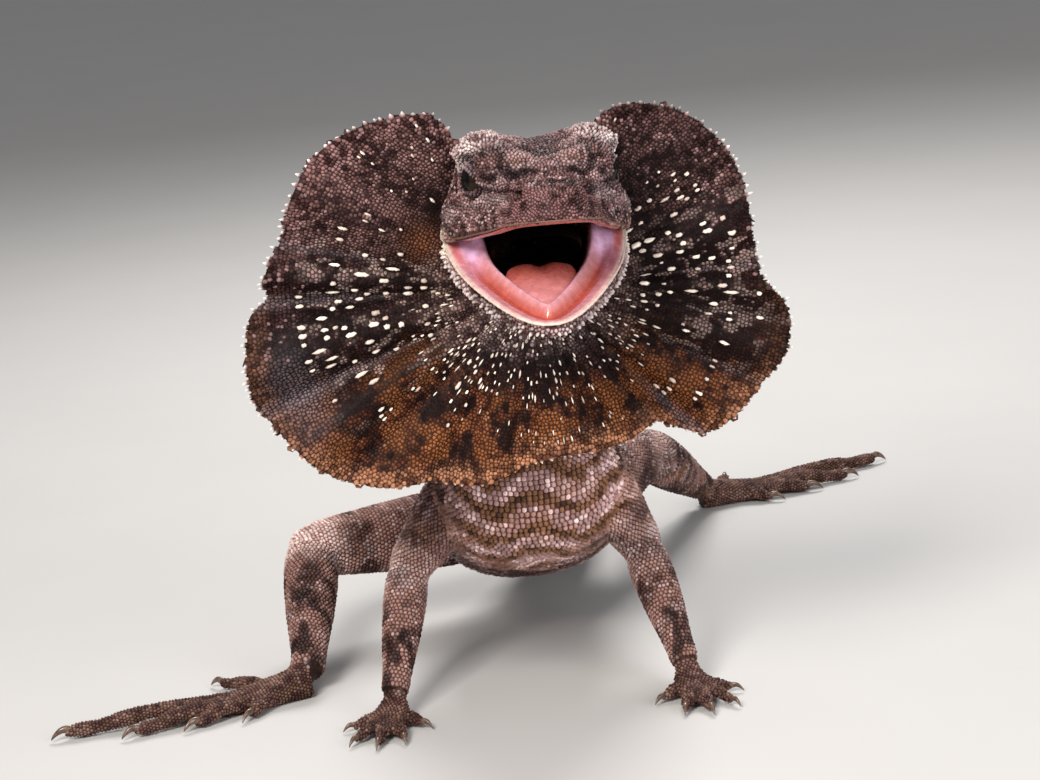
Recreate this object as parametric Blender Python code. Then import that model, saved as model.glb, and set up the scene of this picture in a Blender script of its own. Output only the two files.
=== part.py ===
"""A frilled lizard in threat display: front raised, jaws wide open and frill spread.

Lengths are in millimetres in the code and become metres when a mesh is made.
The animal faces -Y, its left side is +X, and it stands on z = 0.
"""

import math
import random

import bmesh
import bpy
import numpy as np
from mathutils import Matrix, Vector

MM = 0.001            # one millimetre in the scene's metres
GAP = 0.3             # air between pieces that meet
TRUNK_RING = 6.0      # run between two rings of the trunk
TAIL_RING = 13.0
LIMB_RING = 4.8
PALM_RING = 3.4
TOE_RING = 4.1
OVERRUN = 8.0         # how far a cutter made from a length of the trunk runs past its ends
SEED = 7

# Head, measured from the middle of the line between the two corners of the mouth
HEAD_PLACE = (0.0, 0.0, 107.0)
HEAD_YAW = 6.0        # degrees, toward the animal's left
JAW_YAW = 2.5         # the lower jaw swings a little less far
HEAD_PITCH = 11.0     # degrees, snout up
HEAD_ROLL = 2.6       # degrees
GAPE = 27.2           # degrees between the palate and the lower jaw
EYE_RADIUS = 3.8
EYE_FORWARD = 17.0
EYE_SIDE = 11.3
EYE_UP = 10.4
LID_RING = 2.7        # radius of the ring that the lids make round the eye
LID_THICK = 0.8
EYE_AXIS = (0.22, -0.05)    # how far the eye looks forward and up
NOSTRIL = (8.0, 32.4, 6.8, 0.95)    # side, forward, up, radius

# Centre line of neck, trunk and tail: x, y, z, half width, half height
SPINE = [
    (0.0, 2.0, 106.0, 15.5, 13.0),
    (0.0, 9.0, 105.0, 14.5, 13.0),
    (-1.5, 18.5, 96.5, 12.0, 14.0),
    (-3.5, 24.0, 81.0, 11.0, 13.0),
    (-5.0, 32.5, 63.0, 14.0, 12.5),
    (-5.5, 42.0, 48.0, 19.5, 15.5),
    (-6.5, 58.0, 38.5, 21.0, 16.0),
    (-6.5, 80.0, 29.0, 21.0, 14.5),
    (-5.5, 103.0, 21.5, 16.0, 12.5),
    (-3.0, 122.0, 15.5, 11.5, 10.5),
    (1.0, 145.0, 10.0, 8.2, 8.4),
    (7.0, 180.0, 6.0, 5.8, 6.3),
    (14.0, 230.0, 4.2, 4.1, 4.5),
    (14.0, 290.0, 2.8, 2.9, 3.1),
    (2.0, 350.0, 1.9, 1.9, 2.1),
    (-14.0, 405.0, 1.1, 1.1, 1.25),
    (-20.0, 428.0, 0.6, 0.6, 0.7),
]
SPINE_CUTS = {        # node: first and last length along the centre line
    "neck": (6.5, 56.0),
    "chest": (56.0, 92.0),
    "belly": (92.0, 125.0),
    "pelvis": (125.0, 148.0),
    "tail_base": (148.0, 205.0),
    "tail_middle": (205.0, 300.0),
    "tail_end": (300.0, 999.0),
}

# Joints of the limbs, from the root inside the trunk outward
JOINTS = {
    "right_arm": ((-20.0, 44.0, 46.0), (-34.0, 51.0, 27.0), (-39.0, 30.0, 6.0)),
    "left_arm": ((8.0, 43.0, 45.0), (17.0, 51.0, 26.5), (23.0, 30.0, 6.0)),
    "right_leg": ((-14.0, 105.0, 21.0), (-57.0, 86.0, 23.5), (-58.5, 52.0, 5.6)),
    "left_leg": ((2.0, 101.0, 21.0), (22.5, 137.0, 25.5), (37.5, 172.0, 5.8)),
}
# Flesh round each length: share of its run, half width, half height
UPPER_ARM = [(0.0, 6.6, 6.8), (0.3, 6.4, 6.8), (0.7, 5.2, 5.6), (0.95, 4.5, 4.8), (1.1, 3.2, 3.4)]
FOREARM = [(-0.04, 3.4, 3.6), (0.15, 4.5, 4.8), (0.45, 4.3, 4.6), (0.85, 3.1, 3.3), (1.0, 3.0, 3.0)]
THIGH = [(0.0, 8.0, 8.5), (0.35, 8.4, 8.8), (0.7, 7.2, 7.5), (0.95, 6.0, 6.2), (1.09, 3.8, 4.0)]
SHIN = [(-0.06, 4.6, 4.8), (0.15, 6.0, 6.2), (0.45, 5.6, 5.9), (0.85, 3.9, 4.2), (1.0, 3.7, 3.5)]

HAND_PALM = (4.2, 9.0, 3.0)     # half width, length, thickness at the wrist
FOOT_PALM = (4.8, 18.0, 3.6)
SOLE_DEPTH = 1.1                # a palm's half height over its height, so that the floor trims it flat
# Toes: place along the palm, place across, turn, length, radius, claw
HAND = [
    (0.45, 2.4, 62.0, 6.0, 1.3, 2.6),
    (0.8, 2.0, 24.0, 9.0, 1.35, 2.8),
    (0.85, 0.4, 4.0, 10.5, 1.35, 3.0),
    (0.8, -1.4, -18.0, 9.5, 1.3, 2.8),
    (0.5, -2.4, -55.0, 6.0, 1.2, 2.5),
]
FOOT = [
    (0.5, 2.6, 38.0, 9.0, 1.5, 3.4),
    (0.8, 2.2, 18.0, 14.0, 1.6, 3.6),
    (0.9, 0.8, 6.0, 24.0, 1.7, 3.8),
    (0.9, -1.2, -6.0, 37.0, 1.8, 4.2),
    (0.35, -2.8, -58.0, 17.0, 1.5, 3.4),
]

# Frill: rim radius by angle, from straight down (0) toward the animal's left (+)
FRILL_CENTRE = (-1.0, 10.5, 94.0)
FRILL_RIM = [
    (-159.0, 33.0), (-156.5, 41.0), (-150.0, 44.5), (-140.0, 48.0), (-128.0, 51.0),
    (-117.0, 51.5), (-108.0, 51.0), (-99.0, 53.5), (-93.5, 53.2), (-89.5, 57.0),
    (-80.0, 59.0), (-72.0, 60.0), (-63.0, 57.0), (-52.0, 55.5), (-46.0, 52.5),
    (-35.0, 45.5), (-20.0, 41.5), (-8.0, 37.0), (2.0, 35.0), (14.0, 36.0),
    (26.0, 36.5), (36.5, 36.6), (39.5, 41.5), (42.5, 46.5), (50.0, 48.5),
    (60.0, 50.5), (72.0, 52.5), (80.0, 50.5), (86.5, 45.5), (99.0, 44.8),
    (112.0, 46.5), (124.0, 47.0), (136.0, 46.0), (147.0, 43.0), (153.5, 39.0),
    (155.5, 32.0),
]
FRILL_FOLDS = [       # angle, depth of the fold at full reach (negative is forward)
    (-159.0, -11.0), (-150.0, -12.0), (-140.0, -8.0), (-127.0, -3.5), (-118.0, -5.0),
    (-107.0, 0.5), (-99.0, -3.0), (-93.0, 2.0), (-86.0, -3.0), (-79.0, -5.0),
    (-71.0, 0.5), (-62.0, -5.5), (-50.0, 0.5), (-40.0, -2.0), (-30.0, 1.2),
    (-20.0, -1.5), (-9.0, 1.5), (2.0, -1.5), (13.0, 1.2), (24.0, -1.5),
    (34.0, -4.0), (42.0, 4.0), (51.0, 1.5), (60.0, 4.5), (68.0, 1.0),
    (76.0, 3.5), (85.0, 0.0), (90.0, 3.0), (101.0, -1.0), (112.0, 2.0),
    (124.0, -3.0), (136.0, -7.0), (147.0, -11.0), (156.0, -10.0),
]
FRILL_PANELS = {
    "frill_right": (-158.5, -62.0),
    "frill_throat": (-62.0, 34.0),
    "frill_left": (34.0, 155.0),
}
FRILL_ROOT = 8.0      # radius where the membrane starts, inside head and throat
FRILL_THICK = 1.0
FRILL_DISH = 2.5      # how far the rim leans forward of the root
FRILL_COLUMN = 3.6    # degrees between two columns of the membrane
FRILL_ROWS = 7
RAY_HEIGHT = 0.35
SPINE_PITCH = 3.5     # along the rim
SPINE_LENGTH = 2.0
SPINE_WIDTH = 1.5
SPINE_ROOT = 1.3      # how deep a spine sits in the rim
SPINE_DEPTH = 0.84    # its thickness over its width
LOW_RIM = 62.0        # degrees either side of straight down, where the spines are short
LOW_SPINE = 0.55


def clear_scene():
    for obj in list(bpy.data.objects):
        bpy.data.objects.remove(obj, do_unlink=True)


def make_material(name, colour, roughness):
    material = bpy.data.materials.new(name)
    material.use_nodes = True
    shader = material.node_tree.nodes["Principled BSDF"]
    shader.inputs["Base Color"].default_value = (*colour, 1.0)
    shader.inputs["Roughness"].default_value = roughness
    shader.inputs["Metallic"].default_value = 0.0
    return material


def skin_material(node):
    return make_material(node + "_skin", (0.16, 0.11, 0.085), 0.6)


def frill_material(node):
    return make_material(node + "_membrane", (0.12, 0.06, 0.035), 0.65)


def mouth_material(node):
    return make_material(node + "_lining", (0.75, 0.25, 0.2), 0.3)


def eye_material(node):
    return make_material(node + "_cornea", (0.03, 0.02, 0.015), 0.1)


# Curves through named points

def spline(rows, position):
    """Point of a smooth curve through the rows, at a row number with a fraction."""
    rows = np.asarray(rows, float)
    last = len(rows) - 1
    position = min(max(position, 0.0), float(last))
    index = min(int(position), last - 1)
    share = position - index
    before = rows[index - 1] if index > 0 else 2 * rows[0] - rows[1]
    after = rows[index + 2] if index + 2 <= last else 2 * rows[last] - rows[last - 1]
    start, end = rows[index], rows[index + 1]
    square, cube = share ** 2, share ** 3
    return 0.5 * (2 * start + (end - before) * share
                  + (2 * before - 5 * start + 4 * end - after) * square
                  + (3 * start - before - 3 * end + after) * cube)


def length_table(rows, steps=40):
    """Lengths along the curve at even steps of its row number."""
    places = np.linspace(0, len(rows) - 1, (len(rows) - 1) * steps + 1)
    points = np.array([spline(rows, place)[:3] for place in places])
    runs = np.linalg.norm(np.diff(points, axis=0), axis=1)
    return places, np.concatenate([[0.0], np.cumsum(runs)])


def smooth_along(value, pairs):
    """Smooth interpolation in a list of pairs, by the first of each pair."""
    keys = [pair[0] for pair in pairs]
    index = int(np.clip(np.searchsorted(keys, value) - 1, 0, len(keys) - 2))
    share = (value - keys[index]) / (keys[index + 1] - keys[index])
    share = min(max(share, 0.0), 1.0)
    return float(spline([(pair[1],) for pair in pairs], index + share)[0])


# Meshes

def new_object(name, points, faces, material=None):
    mesh = bpy.data.meshes.new(name)
    scaled = [(point[0] * MM, point[1] * MM, point[2] * MM) for point in points]
    mesh.from_pydata(scaled, [], faces)
    mesh.validate()
    obj = bpy.data.objects.new(name, mesh)
    bpy.context.scene.collection.objects.link(obj)
    tidy_mesh(obj)
    if material:
        mesh.materials.append(material)
    mesh.shade_smooth()
    return obj


def tidy_mesh(obj):
    """Triangles only, no doubled points, faces pointing out."""
    work = bmesh.new()
    work.from_mesh(obj.data)
    bmesh.ops.remove_doubles(work, verts=work.verts, dist=0.000002)
    bmesh.ops.dissolve_degenerate(work, edges=work.edges, dist=0.000002)
    bmesh.ops.triangulate(work, faces=work.faces)
    bmesh.ops.recalc_face_normals(work, faces=work.faces)
    if work.calc_volume(signed=True) < 0:
        bmesh.ops.reverse_faces(work, faces=work.faces)
    work.to_mesh(obj.data)
    work.free()


def loft(name, rings, material=None):
    """Closed solid through flat rings of equal count, with a flat cap at either end."""
    count = len(rings[0])
    points = [tuple(point) for ring in rings for point in ring]
    faces = []
    for row in range(len(rings) - 1):
        for side in range(count):
            nextside = (side + 1) % count
            low, high = row * count, (row + 1) * count
            faces.append((low + side, low + nextside, high + nextside, high + side))
    faces.append(tuple(range(count)))
    faces.append(tuple(range(len(points) - count, len(points))))
    return new_object(name, points, faces, material)


def carried_rings(rows, places, sides, fullness, grow):
    """Cross-sections carried along a centre line without twist."""
    rings = []
    side = None
    for place in places:
        here = spline(rows, place)
        step = 0.02
        forward = Vector(spline(rows, place + step)[:3] - spline(rows, place - step)[:3]).normalized()
        if side is None:
            base = Vector((0.0, 0.0, 1.0)) if abs(forward.z) < 0.9 else Vector((0.0, 1.0, 0.0))
            side = forward.cross(base).normalized()
        side = (side - forward * side.dot(forward)).normalized()
        top = side.cross(forward)
        ring = []
        for index in range(sides):
            angle = 2 * math.pi * index / sides
            cosine, sine = math.cos(angle), math.sin(angle)
            wide = math.copysign(abs(cosine) ** (2 / fullness), cosine) * (here[3] + grow)
            high = math.copysign(abs(sine) ** (2 / fullness), sine) * (here[4] + grow)
            ring.append(Vector(here[:3]) + side * wide + top * high)
        rings.append(ring)
    return rings


def tube(name, rows, start=0.0, end=1e9, spacing=4.0, sides=16, fullness=2.2, grow=0.0,
         material=None):
    """Solid length of a limb, neck, trunk or tail between two lengths of its centre line."""
    places, lengths = length_table(rows)
    total = lengths[-1]
    first = max(start - grow, 0.0) if start > 0 else 0.0
    last = min(end + grow, total)
    count = max(2, int(round((last - first) / spacing)) + 1)
    marks = np.linspace(first, last, count)
    chosen = [float(np.interp(mark, lengths, places)) for mark in marks]
    # the frame is carried from the root, so that the parted lengths share their rings
    lead = list(np.arange(0.0, chosen[0], 0.25))
    rings = carried_rings(rows, lead + chosen, sides, fullness, grow)[len(lead):]
    return loft(name, rings, material)


def apply_modifiers(obj):
    graph = bpy.context.evaluated_depsgraph_get()
    mesh = bpy.data.meshes.new_from_object(obj.evaluated_get(graph))
    obj.modifiers.clear()
    old = obj.data
    obj.data = mesh
    bpy.data.meshes.remove(old)


def keep_largest(obj):
    """Keep only the closed surface of the largest volume."""
    work = bmesh.new()
    work.from_mesh(obj.data)
    bmesh.ops.triangulate(work, faces=work.faces)
    work.faces.ensure_lookup_table()
    seen = set()
    shells = []
    for face in work.faces:
        if face.index in seen:
            continue
        shell, queue = [], [face]
        seen.add(face.index)
        while queue:
            current = queue.pop()
            shell.append(current)
            for edge in current.edges:
                for other in edge.link_faces:
                    if other.index not in seen:
                        seen.add(other.index)
                        queue.append(other)
        volume = 0.0
        for item in shell:
            a, b, c = (vert.co for vert in item.verts)
            volume += a.dot(b.cross(c)) / 6.0
        shells.append((volume, shell))
    shells.sort(key=lambda pair: pair[0], reverse=True)
    for volume, shell in shells[1:]:
        bmesh.ops.delete(work, geom=shell, context='FACES')
    loose = [vert for vert in work.verts if not vert.link_faces]
    bmesh.ops.delete(work, geom=loose, context='VERTS')
    work.to_mesh(obj.data)
    work.free()


def cut(obj, cutter):
    """Take a cutter's shape out of an object, then remove the cutter."""
    cutter.hide_render = True
    cutter.display_type = 'WIRE'
    modifier = obj.modifiers.new("cut", 'BOOLEAN')
    modifier.operation = 'DIFFERENCE'
    modifier.solver = 'EXACT'
    modifier.object = cutter
    apply_modifiers(obj)
    bpy.data.objects.remove(cutter, do_unlink=True)
    keep_largest(obj)
    tidy_mesh(obj)


def fuse(obj, pieces):
    """Join closed pieces to an object by one union, then remove the pieces."""
    group = bpy.data.collections.new(obj.name + "_pieces")
    bpy.context.scene.collection.children.link(group)
    for piece in pieces:
        group.objects.link(piece)
    modifier = obj.modifiers.new("fuse", 'BOOLEAN')
    modifier.operation = 'UNION'
    modifier.operand_type = 'COLLECTION'
    modifier.collection = group
    modifier.solver = 'EXACT'
    apply_modifiers(obj)
    for piece in pieces:
        bpy.data.objects.remove(piece, do_unlink=True)
    bpy.data.collections.remove(group)
    keep_largest(obj)
    tidy_mesh(obj)


def grown_copy(obj, distance):
    """Copy of an object with its surface moved out along its normals."""
    mesh = obj.data.copy()
    copy = bpy.data.objects.new(obj.name + "_grown", mesh)
    bpy.context.scene.collection.objects.link(copy)
    work = bmesh.new()
    work.from_mesh(mesh)
    work.normal_update()
    moves = [vert.normal * distance * MM for vert in work.verts]
    for vert, move in zip(work.verts, moves):
        vert.co += move
    work.to_mesh(mesh)
    work.free()
    return copy


def floor_block():
    """Block under the floor, which trims soles flat."""
    mesh = bpy.data.meshes.new("under_floor")
    work = bmesh.new()
    bmesh.ops.create_cube(work, size=1.0)
    work.to_mesh(mesh)
    work.free()
    block = bpy.data.objects.new("under_floor", mesh)
    block.scale = (0.8, 1.4, 0.1)
    block.location = (0.0, 0.2, -0.05)
    bpy.context.scene.collection.objects.link(block)
    bpy.context.view_layer.update()
    return block


# Head

def head_matrix(drop, yaw=HEAD_YAW):
    """Frame of the palate (drop 0) or of the lower jaw: x to its left, y forward, z up."""
    turn = Matrix.Rotation(math.radians(yaw), 4, 'Z')
    pitch = Matrix.Rotation(math.radians(-(HEAD_PITCH - drop)), 4, 'X')
    roll = Matrix.Rotation(math.radians(HEAD_ROLL), 4, 'Y')
    flip = Matrix.Diagonal((1.0, -1.0, 1.0, 1.0))
    return Matrix.Translation(Vector(HEAD_PLACE)) @ turn @ roll @ pitch @ flip


HEAD_WIDTH = [(-9, 15.5), (-4, 17.3), (0, 18.1), (6, 17.9), (12, 16.8), (18, 15.0), (24, 12.9),
              (29, 11.0), (33, 9.4), (36, 7.6), (38.5, 4.8), (40, 1.8)]
BROW_WIDTH = [(-9, 10.5), (-4, 12.0), (0, 13.0), (6, 14.0), (12, 14.4), (18, 13.6), (22, 11.6),
              (26, 9.2), (30, 7.4), (34, 6.0), (37, 4.4), (39, 2.6), (40, 1.2)]
BROW_HEIGHT = [(-9, 14.2), (-4, 16.2), (0, 17.2), (6, 18.2), (12, 19.2), (17, 18.8), (21, 17.0),
               (25, 15.2), (29, 12.6), (32, 9.8), (36, 7.6), (38.5, 5.4), (40, 3.0)]
CROWN_HEIGHT = [(-9, 14.0), (-4, 16.0), (0, 17.2), (6, 18.2), (12, 18.4), (17, 17.4), (21, 15.8),
                (25, 14.0), (29, 11.8), (32, 9.6), (36, 7.6), (38.5, 5.4), (40, 3.0)]
SECTION = [          # share of width between lip and brow, height share of brow, 0 at the lip
    (0.0, 0.06), (0.5, 0.04), (0.88, 0.0), (0.97, -0.03), (1.0, 0.03), (0.99, 0.13), (0.975, 0.25),
    (0.965, 0.38), (0.96, 0.52), (0.965, 0.66), (0.99, 0.79), (0.985, 0.9), (0.86, 0.985),
    (0.62, 1.0), (0.38, 0.975), (0.16, 0.945), (0.0, 0.935),
]
HEAD_STATIONS = [-9, -6, -3, 0, 3, 6, 8.5, 11, 13.5, 16, 18, 20, 22, 24, 26, 28, 30, 32, 34, 36,
                 37.5, 38.9, 40]
HEAD_FORMS = [       # side, forward, up, their reaches, height: swellings and hollows of each side
    (8.8, 9.0, 19.5, 4.5, 6.0, 3.0, 0.8),
    (8.6, 17.0, 18.2, 4.2, 6.0, 3.5, 1.2),
    (13.0, 17.5, 14.6, 2.6, 6.5, 2.2, 1.7),
    (11.2, 23.8, 12.4, 2.8, 3.0, 3.2, 2.3),
    (10.4, 26.4, 8.8, 2.2, 2.6, 2.2, 1.9),
    (5.2, 27.6, 13.4, 3.4, 2.4, 1.9, 1.7),
    (8.4, 32.4, 6.6, 2.0, 2.4, 2.0, 0.9),
    (14.6, 18.0, 5.6, 3.5, 6.0, 2.0, 1.1),
    (6.2, 31.2, 10.0, 2.8, 2.4, 2.0, -1.4),
    (11.4, 29.4, 6.2, 2.4, 2.4, 2.2, -0.9),
    (0.0, 13.0, 18.5, 3.4, 9.0, 3.0, -0.7),
]


def head_section(forward):
    """Half outline of the upper head at a distance ahead of the mouth's corners."""
    lip = smooth_along(forward, HEAD_WIDTH)
    brow = smooth_along(forward, BROW_WIDTH)
    height = smooth_along(forward, BROW_HEIGHT)
    crown = smooth_along(forward, CROWN_HEIGHT)
    points = []
    for wide, high in SECTION:
        mix = min(max(high, 0.0), 1.0)
        width = lip + (brow - lip) * mix
        level = height * high
        if high > 0.93 and wide < 0.6:
            level = crown + (level - crown) * (wide / 0.6) ** 2
        points.append((wide * width, level))
    return points


def head_form(side, forward, up):
    """Point of the upper head, moved out or in by the brows, ridges and hollows."""
    point = Vector((side, forward, up))
    core = Vector((0.0, min(forward, 33.0), 7.0))
    outward = (point - core).normalized()
    moved = Vector(point)
    for place in HEAD_FORMS:
        span = ((abs(side) - place[0]) / place[3]) ** 2 + ((forward - place[1]) / place[4]) ** 2
        span += ((up - place[2]) / place[5]) ** 2
        moved += outward * place[6] * math.exp(-span)
    return moved


def head_rings():
    frame = head_matrix(0.0)
    rings = []
    for forward in HEAD_STATIONS:
        half = head_section(forward)
        outline = [(x, z) for x, z in half] + [(-x, z) for x, z in reversed(half[1:-1])]
        rings.append([frame @ head_form(x, forward, z) for x, z in outline])
    return rings


def lid_ring(side):
    """Ring of the two lids, round the eye's own axis."""
    frame = head_matrix(0.0)
    centre = Vector((side * EYE_SIDE, EYE_FORWARD, EYE_UP))
    axis = Vector((side, *EYE_AXIS)).normalized()
    along_head = Vector((0.0, 1.0, 0.0))
    along_head = (along_head - axis * along_head.dot(axis)).normalized()
    upward = axis.cross(along_head)
    middle = centre + axis * math.sqrt(EYE_RADIUS ** 2 - LID_RING ** 2)
    steps, sides = 16, 5
    points, faces = [], []
    for step in range(steps):
        turn = 2 * math.pi * step / steps
        radial = along_head * math.cos(turn) * 1.15 + upward * math.sin(turn) * 0.85
        for spot in range(sides):
            around = 2 * math.pi * spot / sides
            offset = radial.normalized() * math.cos(around) + axis * math.sin(around)
            points.append(frame @ (middle + radial * LID_RING + offset * LID_THICK))
            low, high = step * sides, ((step + 1) % steps) * sides
            other = (spot + 1) % sides
            faces.append((low + spot, high + spot, high + other, low + other))
    return new_object("lids", points, faces)


def eye_centre(side):
    return head_matrix(0.0) @ Vector((side * EYE_SIDE, EYE_FORWARD, EYE_UP))


def ball(name, centre, radius, material=None, segments=12, rings=8):
    mesh = bpy.data.meshes.new(name)
    work = bmesh.new()
    bmesh.ops.create_uvsphere(work, u_segments=segments, v_segments=rings, radius=radius * MM)
    bmesh.ops.triangulate(work, faces=work.faces)
    work.to_mesh(mesh)
    work.free()
    obj = bpy.data.objects.new(name, mesh)
    bpy.context.scene.collection.objects.link(obj)
    mesh.transform(Matrix.Translation(Vector(centre) * MM))
    if material:
        mesh.materials.append(material)
    mesh.shade_smooth()
    return obj


def build_head():
    head = loft("head", head_rings(), skin_material("head"))
    fuse(head, [lid_ring(-1), lid_ring(1)])
    side_place, forward, up, radius = NOSTRIL
    for side in (-1, 1):
        cut(head, ball("socket", eye_centre(side), EYE_RADIUS + GAP))
        nostril = head_matrix(0.0) @ head_form(side * side_place, forward, up)
        cut(head, ball("nostril", nostril, radius, None, 8, 6))
    return head


def build_eyes():
    for side, name in ((-1, "eye_right"), (1, "eye_left")):
        ball(name, eye_centre(side), EYE_RADIUS, eye_material(name))


JAW_WIDTH = [(-7, 15.5), (-1, 17.4), (4, 17.6), (10, 16.9), (16, 15.6), (22, 13.5), (28, 10.8),
             (32, 8.6), (36, 6.0), (38.5, 3.6), (39.6, 1.4)]
JAW_DEPTH = [(-7, 10.0), (-1, 9.5), (4, 9.0), (10, 8.0), (16, 7.0), (22, 6.0), (28, 5.2),
             (32, 4.6), (36, 4.0), (38.5, 3.2), (39.6, 2.0)]
JAW_CUSHION = [(-7, 0.0), (-1, 0.0), (2, 1.0), (5, 2.2), (8, 3.0), (11, 2.2), (15, 0.6), (20, 0.0),
               (40, 0.0)]
JAW_STATIONS = [-7, -4, -1, 2, 5, 8, 11, 14, 17, 20, 23, 26, 29, 32, 34.5, 36.5, 38.2, 39.6]
JAW_SECTION = [      # share of width, share of depth below the lip, share of the cushion
    (0.0, 0.42, 0.0), (0.3, 0.40, 0.0), (0.5, 0.32, 0.15), (0.6, 0.14, 0.8), (0.68, 0.05, 1.0),
    (0.78, 0.12, 0.9), (0.87, 0.06, 0.5), (0.95, 0.0, 0.1), (1.0, 0.10, 0.0), (1.0, 0.35, 0.0),
    (0.88, 0.68, 0.0), (0.6, 0.92, 0.0), (0.3, 1.0, 0.0), (0.0, 1.02, 0.0),
]


def build_lower_jaw():
    frame = head_matrix(GAPE, JAW_YAW)
    rings = []
    for forward in JAW_STATIONS:
        wide = smooth_along(forward, JAW_WIDTH)
        deep = smooth_along(forward, JAW_DEPTH)
        cushion = smooth_along(forward, JAW_CUSHION)
        half = [(x * wide, raised * cushion - z * deep) for x, z, raised in JAW_SECTION]
        outline = half + [(-x, z) for x, z in reversed(half[1:-1])]
        rings.append([frame @ Vector((x, forward, z)) for x, z in outline])
    return loft("lower_jaw", rings, skin_material("lower_jaw"))


TONGUE = [           # forward, half width, top above the lip line, bottom
    (13.0, 4.6, -0.9, -2.4), (16.0, 6.4, 0.6, -2.4), (20.0, 6.7, 1.0, -2.2), (24.5, 5.6, 0.5, -1.9),
    (28.5, 3.8, -0.3, -1.7), (31.8, 1.8, -1.0, -1.6),
]


def build_tongue(jaw):
    frame = head_matrix(GAPE, JAW_YAW)
    rings = []
    sides = 14
    for row in range(11):
        forward, wide, top, bottom = spline(TONGUE, row * (len(TONGUE) - 1) / 10)
        middle, half = (top + bottom) / 2, (top - bottom) / 2
        ring = []
        for index in range(sides):
            angle = 2 * math.pi * index / sides
            sine = math.sin(angle)
            high = math.copysign(abs(sine) ** 0.7, sine) * half
            ring.append(frame @ Vector((math.cos(angle) * wide, forward, middle + high)))
        rings.append(ring)
    tongue = loft("tongue", rings, mouth_material("tongue"))
    cut(tongue, grown_copy(jaw, GAP))


# Neck, trunk and tail

def build_spine_nodes():
    nodes = {}
    for name, (start, end) in SPINE_CUTS.items():
        tail = name.startswith("tail")
        nodes[name] = tube(name, SPINE, start + GAP / 2, end - GAP / 2,
                           spacing=TAIL_RING if tail else TRUNK_RING, sides=12 if tail else 20,
                           fullness=2.2, material=skin_material(name))
        if tail:
            cut(nodes[name], floor_block())
    return nodes


# Limbs

def grown_trunk(name):
    start, end = SPINE_CUTS[name]
    return tube(name + "_grown", SPINE, start - OVERRUN, end + OVERRUN, spacing=TRUNK_RING, sides=20,
                grow=GAP)


def flesh_rows(start, end, shape):
    """Centre line with half sizes, from two joints and the flesh between them."""
    start, end = Vector(start), Vector(end)
    return [(*start.lerp(end, share), wide, high) for share, wide, high in shape]


def build_limb(joints, names, shapes, trunk, nodes):
    root, middle, end = joints
    upper = tube(names[0], flesh_rows(root, middle, shapes[0]), spacing=LIMB_RING, sides=14,
                 fullness=2.1, material=skin_material(names[0]))
    for name in trunk:
        cut(upper, grown_trunk(name))
        cut(upper, grown_copy(nodes[name], GAP))
    lower = tube(names[1], flesh_rows(middle, end, shapes[1]), spacing=LIMB_RING, sides=14,
                 fullness=2.1, material=skin_material(names[1]))
    cut(lower, grown_copy(upper, GAP))
    return lower


def toe(name, root, heading, length, radius, claw):
    """Toe with an arched back and a hooked claw, as one tapered tube."""
    ahead = Vector((math.cos(heading), math.sin(heading), 0.0))
    rows = []
    for share, height, size in ((0.0, root[2], 1.15), (0.25, root[2] + 0.5, 1.05),
                                (0.6, radius * 1.5, 1.0), (0.9, radius * 0.95, 0.95),
                                (1.0, radius * 1.1, 0.8)):
        place = Vector((root[0], root[1], 0.0)) + ahead * length * share
        rows.append((place.x, place.y, height, radius * size, radius * size))
    for share, height, size in ((0.35, 1.25, 0.5), (0.75, 1.0, 0.32), (1.0, 0.35, 0.12)):
        place = Vector((root[0], root[1], 0.0)) + ahead * (length + claw * share)
        rows.append((place.x, place.y, radius * height, radius * size, radius * size))
    return tube(name, rows, spacing=TOE_RING, sides=8, fullness=2.0)


def build_foot(name, ankle, heading, palm, toes):
    """Foot as a palm with toes fanned from it; its soles are trimmed flat at the floor."""
    angle = math.radians(heading)
    ahead = Vector((math.cos(angle), math.sin(angle), 0.0))
    across = Vector((-math.sin(angle), math.cos(angle), 0.0))
    start = Vector(ankle)
    wide, long, thick = palm
    rows = []
    for share, width, height in ((0.0, 0.72, thick), (0.35, 0.85, thick * 0.8),
                                 (0.75, 1.0, thick * 0.62), (1.0, 0.8, thick * 0.5)):
        place = start + ahead * long * share
        rows.append((place.x, place.y, height, wide * width, height * SOLE_DEPTH))
    foot = tube(name, rows, spacing=PALM_RING, sides=12, fullness=2.3, material=skin_material(name))
    pieces = []
    for index, (back, side, turn, length, radius, claw) in enumerate(toes):
        root = start + ahead * (long * back) + across * side
        pieces.append(toe("toe", (root.x, root.y, radius * 1.25), math.radians(heading + turn),
                          length, radius, claw))
    fuse(foot, pieces)
    cut(foot, floor_block())
    return foot


def mirrored(toes):
    return [(back, -side, -turn, length, radius, claw) for back, side, turn, length, radius, claw in toes]


def build_limbs(nodes):
    lowers = {}
    for side in ("right", "left"):
        arm, leg = JOINTS[side + "_arm"], JOINTS[side + "_leg"]
        names = (side + "_upper_arm", side + "_forearm")
        lowers[side + "_hand"] = build_limb(arm, names, (UPPER_ARM, FOREARM), ("chest",), nodes)
        names = (side + "_thigh", side + "_shin")
        trunk = ("pelvis", "belly", "tail_base")
        lowers[side + "_foot"] = build_limb(leg, names, (THIGH, SHIN), trunk, nodes)
    feet = {
        "right_hand": (JOINTS["right_arm"][2], -105.0, HAND_PALM, HAND),
        "left_hand": (JOINTS["left_arm"][2], -75.0, HAND_PALM, mirrored(HAND)),
        "right_foot": (JOINTS["right_leg"][2], -160.0, FOOT_PALM, FOOT),
        "left_foot": (JOINTS["left_leg"][2], 22.0, FOOT_PALM, mirrored(FOOT)),
    }
    for name, (ankle, heading, palm, toes) in feet.items():
        foot = build_foot(name, ankle, heading, palm, toes)
        cut(lowers[name], grown_copy(foot, GAP))


# Frill

def rim_radius(angle):
    return smooth_along(angle, FRILL_RIM)


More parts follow.
